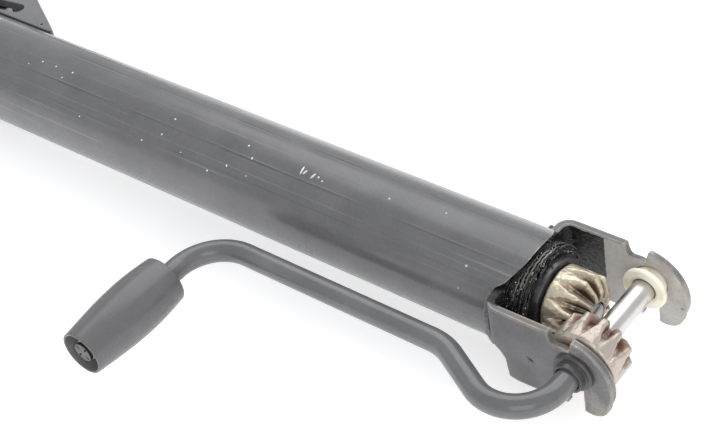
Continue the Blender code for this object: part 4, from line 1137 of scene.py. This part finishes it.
def grease_strings(count, dice):
    paths = []
    for _ in range(count):
        radius = dice.uniform(WIPED_R, TUBE_R - TUBE_WALL - 0.8 * mm)
        start = dice.uniform(radians(-10), radians(150))
        run = dice.uniform(radians(10), radians(55))
        x = dice.uniform(WEB_FACE + 0.4 * mm, WEB_FACE + 9.5 * mm)
        drift, lean = dice.uniform(-1.2, 1.2) * mm, dice.uniform(-1.3, 1.3) * mm
        points = []
        for i in range(12):
            t = i / 11
            a = start + run * t
            r = radius + drift * t + 0.35 * mm * sin(5 * t + start)
            y, z = r * cos(a), min(r * sin(a), 21.0 * mm)
            px = max(WEB_FACE + 0.1 * mm, x + lean * t + 0.3 * mm * sin(7 * t))
            under_tube = px < tube_high.x and hypot(y, z) > TUBE_R - TUBE_WALL - 0.8 * mm and z > CHEEK_TOP
            if abs(y) < HALF_GAP - 0.8 * mm and not under_tube:
                points.append((px, y, z, 0.35 + sin(pi * t) * 0.65))
        if len(points) > 3:
            paths.append(points)
    return paths


def make_strings():
    dice = random.Random(41)
    for name, count, radius, sides in (("grease_ropes", 60, 0.55 * mm, 10), ("grease_strings", 150, 0.22 * mm, 8)):
        strings = rods(name, grease_strings(count, dice), radius, sides)
        finished(strings, "column", "black_paint", grease, crease=80)


def make_glint_lines():
    """Narrow grey lines on the grease, which are painted glints on it."""
    paths = []
    for radius, ahead, first, last, share in GLINT_LINES:
        points = []
        for i in range(29):
            a = radians(first + (last - first) * i / 28)
            x, r = WEB_FACE + (ahead + 0.2 * sin(i * 1.3)) * mm, (radius + 0.12 * sin(i * 0.9)) * mm
            points.append((x, r * cos(a), r * sin(a), share * sin(pi * (i + 1) / 30)))
        paths.append(points)
    return finished(rods("wiped_rim", paths, 0.32 * mm, 8), "column", "black_paint", olive_steel, crease=80)


def make_flakes():
    """Nicks down to bare steel along the column's top, most of them in one cluster."""
    dice = random.Random(53)
    single = [(dice.uniform(60, 505), dice.uniform(90, 150), dice.uniform(0.4, 1.2)) for _ in range(26)]
    paths = []
    sunk_r = TUBE_R - 0.3 * mm
    for x, middle, length in NICKS + single:
        lean = dice.uniform(-0.6, 0.6)
        points = []
        for i in range(5):
            t = i / 4 - 0.5
            a = radians(middle) + t * length * mm / TUBE_R
            width = 0.35 + 0.65 * sin(pi * (i + 0.5) / 5)
            points.append(((x + t * lean * length) * mm, sunk_r * cos(a), sunk_r * sin(a), width))
        paths.append(points)
    return finished(rods("paint_flakes", paths, 0.62 * mm, 8), "column", "bright_steel", bright_fleck, crease=80)


def make_glint_flecks():
    """Pale flecks in the grease, which are painted glints on it."""
    dice = random.Random(29)
    shape = bmesh.new()
    for _ in range(220):
        a, r = dice.uniform(radians(30), radians(190)), dice.uniform(WIPED_R + 0.3 * mm, 21.6 * mm)
        x = dice.uniform(WEB_FACE + 1 * mm, race_low.x + 1 * mm)
        spin = Matrix.Translation((x, r * cos(a), r * sin(a))) @ Matrix.Rotation(dice.uniform(0, pi), 4, "X")
        size = Matrix.Diagonal((*(dice.uniform(0.1, 0.42) * mm for _ in range(3)), 1))
        bmesh.ops.create_icosphere(shape, subdivisions=1, radius=1, matrix=spin @ size)
    return finished(new_object("filings", shape), "column", "bright_steel", bright_fleck, crease=80)


def make_crumbs():
    """Lumps on the web, in the bends and on the rim of the tube."""
    dice = random.Random(17)
    shape = bmesh.new()
    for _ in range(260):
        a, r = dice.uniform(radians(-25), radians(205)), dice.uniform(WIPED_R, HALF_GAP - 1.2 * mm)
        x = WEB_FACE + abs(dice.gauss(0, 3.5)) * mm
        y, z = r * cos(a), r * sin(a)
        if z > CHEEK_TOP + 1 * mm and r > 21 * mm or x > race_high.x - 1 * mm:
            continue
        size = dice.uniform(0.25, 1.0) * mm
        made = bmesh.ops.create_icosphere(shape, subdivisions=2, radius=size)
        squash = Matrix.Diagonal((dice.uniform(0.4, 0.9), dice.uniform(0.7, 1.3), dice.uniform(0.7, 1.3)))
        spin = Matrix.Rotation(dice.uniform(0, pi), 3, "X")
        for vert in made["verts"]:
            lumpy = 1 + 0.28 * sin(vert.co.x * 5200 + vert.co.y * 4100) * cos(vert.co.z * 6100)
            vert.co = spin @ (squash @ (vert.co * lumpy)) + Vector((x, y, z))
    crumbs = new_object("grease_crumbs", shape)
    return finished(crumbs, "column", "black_paint", grease, crease=80)


make_strings()
make_glint_lines()
make_flakes()
make_glint_flecks()
make_crumbs()

# %% [markdown]
# ## The crank
# One steel rod makes the shaft, the throw and the handle. A bender forms each corner to its own radius, so
# the path is straight runs joined by arcs. The enamel stops where the shaft enters its bush, and from there
# on the rod is bright. That border is a choice of material for each face.

# %% Crank rod
rod_low, rod_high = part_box("crank_rod")
ROD_R = rod_high.z
KNEE = (-51.5 * mm, -44 * mm)
ELBOW_Y = -HALF_WIDTH - 42.2 * mm
BEND_RADII = (19 * mm, 25 * mm, 22 * mm)


def bent_path(corners, radii, count=22):
    """Straight runs joined by arcs."""
    points = [Vector(corners[0])]
    for before, corner, after, radius in zip(corners, corners[1:], corners[2:], radii):
        before, corner, after = Vector(before), Vector(corner), Vector(after)
        come, go = (corner - before).normalized(), (after - corner).normalized()
        bend = come.angle(go)
        start = corner - come * radius * tan(bend / 2)
        inward = (go - come * come.dot(go)).normalized()
        for i in range(count + 1):
            a = bend * i / count
            points.append(start + (come * sin(a) + inward * (1 - cos(a))) * radius)
    return points + [Vector(corners[-1])]


def make_crank():
    knee = (CRANK_X + KNEE[0], KNEE[1], 0)
    corners = [(CRANK_X, rod_high.y - 1 * mm, 0), (CRANK_X, ELBOW_Y, 0), knee, (GRIP_X, KNEE[1], 0)]
    corners += [(GRIP_X, rod_low.y + 0.7 * mm, 0)]
    clip_low, clip_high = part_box("shaft_clip")
    paint_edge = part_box("near_bush")[1].y
    shaft = [(rod_high.y, 0.72), (rod_high.y - 0.9 * mm, 1), (clip_high.y + 0.3 * mm, 1), (clip_high.y, 0.85)]
    shaft += [(clip_low.y, 0.85), (clip_low.y - 0.3 * mm, 1), (paint_edge, 1)]
    shaft = [(CRANK_X, y, 0, share) for y, share in shaft]
    bends = [point for point in bent_path(corners, BEND_RADII) if point.y < paint_edge - 1 * mm]
    rod = rods("crank", [shaft + bends + [(GRIP_X, rod_low.y, 0, 0.7)]], ROD_R, 40)
    finished(rod, "crank", "black_paint", crank_enamel, shaft_steel, stands_for=["crank_rod"], crease=50)
    for face in rod.data.polygons:
        face.material_index = int(face.center.y > paint_edge)
    return rod


make_crank()

# %% [markdown]
# ### The grip
# The grip is a moulded barrel that turns on the rod. Its outline swells and falls like a spindle's, from a
# flat neck to a thin lip at the open end. Inside the mouth the rod's end is staked over a washer: four
# blows of a chisel spread the steel so that the washer can't come off.

# %% Grip
grip_low, grip_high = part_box("crank_grip")
washer_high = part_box("grip_washer")[1]
GRIP_NECK_R, GRIP_BELLY_R, GRIP_TIP_R = 11.4 * mm, grip_high.z - 0.4 * mm, 10.4 * mm


def make_grip():
    length = grip_high.y - grip_low.y
    belly = length * 0.62
    mouth = washer_high.y - grip_low.y + RUNNING_FIT
    profile = [(ROD_R + RUNNING_FIT, length), (GRIP_NECK_R, length)]
    for i in range(1, 15):
        share = i / 14
        radius = GRIP_NECK_R + (GRIP_BELLY_R - GRIP_NECK_R) * sin(share * pi / 2)
        profile.append((radius, length - (length - belly) * share))
    for i in range(1, 19):
        share = i / 18
        radius = GRIP_BELLY_R - (GRIP_BELLY_R - GRIP_TIP_R) * (1 - cos(share * pi / 2))
        profile.append((radius, belly * (1 - share)))
    lip = GRIP_TIP_R - 1.0 * mm
    profile += [(lip, 0), (lip - 0.7 * mm, 3 * mm), (washer_high.z + RUNNING_FIT, mouth), (ROD_R + RUNNING_FIT, mouth)]
    grip = turned("grip", profile, (GRIP_X, grip_low.y, 0), Y, 128, 0.9 * mm)
    return finished(grip, "grip", "black_plastic", grip_plastic, stands_for=["crank_grip"], crease=45)


def make_stake():
    """The staked end of the rod: a cross of four chisel marks on its face."""
    middle, face = Vector((GRIP_X, 0, 0)), rod_low.y
    stake = bar("staked_end", ROD_R - 0.5 * mm, middle + Y * (face - 1.1 * mm), middle + Y * (face + 1.5 * mm))
    for k in range(4):
        a = pi / 4 + k * pi / 2
        way = Vector((cos(a), 0, sin(a)))
        side = Vector((-sin(a), 0, cos(a)))
        shape = bmesh.new()
        bmesh.ops.create_cone(shape, cap_ends=True, segments=4, radius1=1.6 * mm, radius2=0, depth=3.2 * mm)
        axes = Matrix((way * 1.4, side * 0.55, Y)).transposed().to_4x4()
        axes.translation = middle + Y * (face - 0.6 * mm) + way * ROD_R * 0.62
        combined(stake, new_object("chisel", shape, axes), "DIFFERENCE")
    return finished(stake, "crank", "bright_steel", stake_steel, crease=30)


make_grip()
make_stake()
from_box("washer_in_grip", "grip_washer", "crank", "bright_steel", stake_steel, ROD_R - 0.5 * mm, Y, 0.15 * mm)
from_box("ring_on_shaft", "shaft_clip", "crank", "bright_steel", lathe_steel, ROD_R - 0.5 * mm, Y, 0.25 * mm)

# %% Bushes
near_low, near_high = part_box("near_bush")
far_low, far_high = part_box("far_bush")
BORE, BARREL_R = ROD_R + RUNNING_FIT, ROD_R + 2.2 * mm


def make_near_bush():
    """A black bush whose flange lies on the cheek, with a collar that stands out round the crank."""
    length, flange_r, reach = near_high.y - near_low.y, near_high.z, 5.2 * mm
    profile = [(BARREL_R, length), (BARREL_R, reach), (flange_r, reach), (flange_r, reach - 1.3 * mm)]
    profile += [(flange_r - 0.8 * mm, reach - 1.9 * mm), (6.6 * mm, reach - 1.9 * mm), (6.6 * mm, 0)]
    profile += [(BORE, 0), (BORE, length)]
    bush = turned("bush_near", profile, (near_low + near_high) / 2 - Y * length / 2, Y, 96, 0.35 * mm)
    return finished(bush, "column", "black_plastic", bush_plastic, stands_for=["near_bush"])


def make_far_bush():
    """A cream bush, whose thin flange stands in from the cheek on a barrel."""
    length, flange_r, flange = far_high.y - far_low.y, far_high.z, 2.2 * mm
    profile = [(BARREL_R, length), (BARREL_R, flange), (flange_r, flange), (flange_r, 0.7 * mm)]
    profile += [(flange_r - 0.6 * mm, 0.05 * mm), (BORE + 1.3 * mm, 0), (BORE, 0.6 * mm), (BORE, length)]
    bush = turned("bush_far", profile, (far_low + far_high) / 2 - Y * length / 2, Y, 96, 0.35 * mm)
    return finished(bush, "column", "cream_plastic", cream_nylon, stands_for=["far_bush"])


make_near_bush()
make_far_bush()

# %% [markdown]
# ## The lifting carriage
# Two cheeks of plate stand outside the slot and are riveted to the stem of the nut inside. Their edges came
# from a press, so the top edge is rolled. The pivot's boss carries the arm, and an oblong window lightens
# each cheek.

# %% Carriage
cheek_low, cheek_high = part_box("carriage_cheek_upper")
CARRIAGE_EDGE = cheek_low.y
CARRIAGE_RIVETS = {"rivet_a": "carriage_rivet_1", "rivet_b": "carriage_rivet_2", "stop_pin": "arm_stop_pin"}
ARM_RIVETS = {"arm_rivet_a": "arm_rivet_1", "arm_rivet_b": "arm_rivet_2"}
RIVET_R, ARM_RIVET_R = 3 * mm, 2.5 * mm
PIVOT_R, BOSS_R = 6 * mm, cheek_high.y - PIVOT.y


def cheek_outline():
    """Square at the column, and slanted from the head end up to the pivot's boss."""
    run, rise = cheek_high.x - PIVOT.x, PIVOT.y - CARRIAGE_EDGE
    tangent = degrees(acos(BOSS_R / hypot(run, rise)) - atan2(rise, run))
    corners = [(cheek_low.x, CARRIAGE_EDGE), (cheek_high.x, CARRIAGE_EDGE)]
    return softened(corners + arc(PIVOT[:2], BOSS_R, tangent, 200, 36), 1.2 * mm)


def circle(centre, radius, count=32):
    return arc(centre, radius, 0, 360 - 360 / count, count - 1)


def make_cheeks():
    holes = [circle(middle_of(node)[:2], RIVET_R + PIN_PLAY) for node in CARRIAGE_RIVETS.values()]
    holes.append(circle(PIVOT[:2], PIVOT_R + PIN_PLAY))
    window = (cheek_high.x - 45 * mm, CARRIAGE_EDGE + 6.1 * mm)
    holes.append(stadium(window, 8.5 * mm, 3.5 * mm, radians(8)))
    punch_mark = (cheek_high.x - 12.5 * mm, CARRIAGE_EDGE + 2.6 * mm)
    for name, node in (("cheek_upper", "carriage_cheek_upper"), ("cheek_lower", "carriage_cheek_lower")):
        low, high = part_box(node)
        cheek = plate(name, cheek_outline(), low.z, high.z, holes, edge=0.5 * mm)
        if name == "cheek_upper":
            spot = Vector((*punch_mark, high.z))
            combined(cheek, bar("punch", 0.8 * mm, spot - Z * 1.5 * mm, spot + Z * 2 * mm, 24), "DIFFERENCE")
        finished(cheek, "carriage", "black_paint", pressing_enamel, stands_for=[node])


def drill_for(obj, node, radius):
    """Drills the hole of a rivet."""
    x, y, _ = middle_of(node)
    combined(obj, bar("hole", radius + PIN_PLAY, (x, y, -0.02), (x, y, 0.02), 32), "DIFFERENCE")


def rivet(name, node, radius, body):
    """A rivet with a domed head at each end of its grip."""
    low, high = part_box(node)
    dome = 0.55 * radius
    seat = (high.z - low.z) / 2 - dome
    rise = [(1.7 * radius * sin(a), seat + dome * cos(a)) for a in [radians(9 * i) for i in range(11)]]
    profile = rise + [(radius, seat), (radius, -seat)] + [(r, -h) for r, h in reversed(rise)]
    made = turned(name, profile, (low + high) / 2, Z, 48, 0.15 * mm)
    return finished(made, body, "bright_steel", dull_steel, stands_for=[node], crease=50)


def make_nut():
    length = nut_high.x - nut_low.x
    body_r = TUBE_R - TUBE_WALL - 2 * mm
    nut = ring("nut", SCREW_R + RUNNING_FIT, body_r, X * nut_low.x, length, X, 96, 0.8 * mm)
    stem = slab("stem", (nut_low.x, SCREW_R + 4 * mm, -STEM_HALF), (nut_high.x, nut_high.y, STEM_HALF))
    combined(nut, stem, "UNION")
    for node in ("carriage_rivet_1", "carriage_rivet_2"):
        drill_for(nut, node, RIVET_R)
    return finished(nut, "carriage", "bright_steel", dull_steel, stands_for=["lift_nut"])


make_cheeks()
make_nut()
for name, node in CARRIAGE_RIVETS.items():
    rivet(name, node, RIVET_R, "carriage")

# %% [markdown]
# ## The lifting arm
# The arm is a flat root between the cheeks, a tube riveted over its round end, and a turned peg that goes
# into the car's jacking point. The peg's ridges are turned grooves, so that the car can't slip off it.

# %% Arm
root_low, root_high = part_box("arm_root")
arm_low, arm_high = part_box("arm_tube")
peg_low, peg_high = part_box("lift_peg")
ARM_TUBE_R, ARM_TUBE_WALL = arm_high.z, 2.5 * mm
SPIGOT_R = ARM_TUBE_R - ARM_TUBE_WALL - RUNNING_FIT
FLAT_END = arm_low.y - RUNNING_FIT


def make_arm_root():
    half = (root_high.x - root_low.x) / 2
    outline = [(PIVOT.x + half, root_low.y), (PIVOT.x + half, FLAT_END), (PIVOT.x - half, FLAT_END)]
    outline += [(PIVOT.x - half, root_low.y + half), (PIVOT.x - half / 2, root_low.y)]
    hole = circle(PIVOT[:2], PIVOT_R + PIN_PLAY, 48)
    root = plate("root_of_arm", softened(outline, 1.5 * mm), -STEM_HALF, STEM_HALF, [hole], edge=0.7 * mm)
    ends = (PIVOT.x, FLAT_END - 8 * mm, 0), (PIVOT.x, root_high.y, 0)
    combined(root, bar("spigot", SPIGOT_R, *ends, 64), "UNION")
    drill_for(root, "arm_rivet_1", ARM_RIVET_R)
    return finished(root, "arm", "black_paint", pressing_enamel, stands_for=["arm_root"])


def make_arm_tube():
    length = arm_high.y - arm_low.y
    inner, start = ARM_TUBE_R - ARM_TUBE_WALL, (PIVOT.x, arm_low.y, 0)
    tube = ring("tube_of_arm", inner, ARM_TUBE_R, start, length, Y, 128, 0.5 * mm)
    for node in ARM_RIVETS.values():
        drill_for(tube, node, ARM_RIVET_R)
    return finished(tube, "arm", "black_paint", pressing_enamel, stands_for=["arm_tube"])


def make_peg():
    """The collar and the grooved peg, with the spigot that the arm's tube is riveted to."""
    top = peg_high.y - peg_low.y
    collar_start = arm_high.y + RUNNING_FIT - peg_low.y
    collar_end, peg_r, collar_r = collar_start + 4 * mm, 9 * mm, peg_high.z
    profile = [(0, top), (peg_r - 2.4 * mm, top), (peg_r, top - 2.4 * mm)]
    grooves, groove_pitch = 7, 4.2 * mm
    for i in range(grooves):
        at = top - 6 * mm - i * groove_pitch
        profile += [(peg_r, at), (peg_r - 0.8 * mm, at - 0.8 * mm), (peg_r - 0.8 * mm, at - 1.5 * mm)]
        profile += [(peg_r, at - 2.3 * mm)]
    profile += [(peg_r, collar_end), (collar_r, collar_end), (collar_r, collar_start), (SPIGOT_R, collar_start)]
    profile += [(SPIGOT_R, 0), (0, 0)]
    peg = turned("peg", profile, (PIVOT.x, peg_low.y, 0), Y, 96, 0.4 * mm)
    drill_for(peg, "arm_rivet_2", ARM_RIVET_R)
    return finished(peg, "arm", "bright_steel", lathe_steel, stands_for=["lift_peg"])


make_arm_root()
make_arm_tube()
make_peg()
for name, node in ARM_RIVETS.items():
    rivet(name, node, ARM_RIVET_R, "arm")

# %% [markdown]
# ## Pins and the foot
# Each hinge is a pin with a head at one end and a spring ring in a groove at the other. The foot is a
# pressed plate with two lugs. Its sole has low ribs, which bite into soft ground.

# %% Headed pins


def headed_pin(name, node, clip_node, radius, head, body, clip_name):
    """A pin along Z, its head on top and its ring below."""
    low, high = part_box(node)
    clip_low, clip_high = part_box(clip_node)
    head_r, groove = (high.x - low.x) / 2, radius - 1 * mm
    play = 0.3 * mm
    profile = [(0, high.z), (head_r - 1 * mm, high.z), (head_r, high.z - 0.8 * mm), (head_r, high.z - head)]
    profile += [(radius, high.z - head), (radius, clip_high.z + play), (groove, clip_high.z + play)]
    profile += [(groove, clip_low.z - play), (radius, clip_low.z - play), (radius, low.z), (0, low.z)]
    centre = (low + high) / 2
    pin = turned(name, profile, (centre.x, centre.y, 0), Z, 64, 0.3 * mm)
    finished(pin, body, "bright_steel", lathe_steel, stands_for=[node])
    from_box(clip_name, clip_node, body, "bright_steel", dull_steel, groove + play, Z, 0.2 * mm, 64)


headed_pin("pivot_pin", "arm_pivot_pin", "arm_pivot_clip", PIVOT_R, 3 * mm, "carriage", "pivot_ring")
headed_pin("foot_pin_turned", "foot_pin", "foot_pin_clip", FOOT_PIN_R, 2.6 * mm, "column", "foot_pin_ring")
from_box("screw_end_ring", "spindle_clip", "spindle_drive", "bright_steel", dull_steel, NECK_R - 0.5 * mm)

# %% Foot
foot_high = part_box("foot_plate")[1]
SOLE, RIB = 4 * mm, 1.2 * mm
LUG_R, LUG_OUTER, LUG_INNER = foot_high.x - FOOT_PIN_X, 30.5 * mm, 26.5 * mm


def make_foot():
    """The sole stands across the column's axis, so its outline lies in Y and Z."""
    across = Matrix(((0, 0, 1, 0), (1, 0, 0, 0), (0, 1, 0, 0), (0, 0, 0, 1)))
    half_y, half_z = foot_high.y, foot_high.z
    corners = [(half_y, -half_z), (half_y, half_z), (-half_y, half_z), (-half_y, -half_z)]
    foot = plate("foot", softened(corners, 8 * mm, steps=12), RIB, SOLE, to_place=across, edge=0.6 * mm)
    for i in range(5):
        y = (i - 2) * 15 * mm
        rib = plate("rib", stadium((y, 0), 0.1 * mm, 2.2 * mm), 0, SOLE / 2, to_place=across, edge=0.4 * mm)
        stretch = Matrix.Diagonal((1, 1, (half_z - 7 * mm) / (2.3 * mm), 1))
        rib.data.transform(stretch)
        combined(foot, rib, "UNION")
    base = LUG_R + 6 * mm
    lug = [(SOLE / 2, base), (SOLE / 2, -base)] + arc((FOOT_PIN_X, 0), LUG_R, -80, 80, 32)
    hole = circle((FOOT_PIN_X, 0), FOOT_PIN_R + PIN_PLAY, 48)
    for side in (1, -1):
        low, high = sorted((side * LUG_INNER, side * LUG_OUTER))
        combined(foot, plate("lug", lug, low, high, [hole], edge=0.4 * mm), "UNION")
    return finished(foot, "foot", "black_paint", pressing_enamel, stands_for=["foot_plate"])


def make_lug_welds():
    """A bead at the outer and inner root of each lug, on the sole."""
    paths = []
    for z in (LUG_OUTER + 0.2 * mm, LUG_INNER - 0.2 * mm, -LUG_OUTER - 0.2 * mm, -LUG_INNER + 0.2 * mm):
        run = LUG_R + 3 * mm
        steps = [(i, run * (i / 30 - 1)) for i in range(61)]
        paths.append([(SOLE + 0.1 * mm, y, z, 0.8 + 0.2 * abs(sin(i * 0.75))) for i, y in steps])
    return finished(rods("lug_welds", paths, 1.3 * mm, 12), "foot", "black_paint", pressing_enamel, crease=60)


make_foot()
make_lug_welds()

# %% [markdown]
# ## Floor and light
# The floor is a lit white table, just under the lowest point, so that shadows stay pale. A wide soft lamp
# hangs behind the jack and above it, and a weaker one fills from the crank's side. The tube then shows one
# long pale band near its top and a bright lower edge where it mirrors the floor, with a dark band between.

# %% Floor
floor_shape = bmesh.new()
bmesh.ops.create_grid(floor_shape, x_segments=1, y_segments=1, size=6)
floor = new_object("floor", floor_shape, Matrix.Translation((0.3, 0, cad_low.z - 0.3 * mm)))
table = Surface("studio_floor", Base_Color=(0.97, 0.97, 0.97), Roughness=0.75)
table.set(Emission_Color=(1, 1, 1), Emission_Strength=0.42)
floor.data.materials.append(table.material)
floor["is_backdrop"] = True

# %% Lamps


def softbox(name, place, width, depth, power):
    """A soft rectangular lamp that faces the middle of the jack."""
    data = bpy.data.lights.new(name, "AREA")
    data.shape, data.size, data.size_y, data.energy = "RECTANGLE", width, depth, power
    lamp = bpy.data.objects.new(name, data)
    bpy.context.scene.collection.objects.link(lamp)
    lamp.location = place
    lamp.rotation_euler = (Vector((0.4, 0, 0)) - Vector(place)).to_track_quat("-Z", "Y").to_euler()


softbox("top_light", (0.1, 1.1, 1.7), 2.4, 1.6, 22)
softbox("fill_light", (1.5, -1.3, 1.0), 1.2, 1.2, 7)
world = bpy.data.worlds.new("studio")
world.use_nodes = True
background = world.node_tree.nodes["Background"].inputs
background["Color"].default_value, background["Strength"].default_value = (0.97, 0.98, 1.0, 1), 0.8
bpy.context.scene.world = world

# %% Sizes, and the end
visual_low, visual_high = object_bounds()
growth = (*(cad_low - visual_low), *(visual_high - cad_high))
print("grows past the model by, in mm:", [round(side / mm, 3) for side in growth])
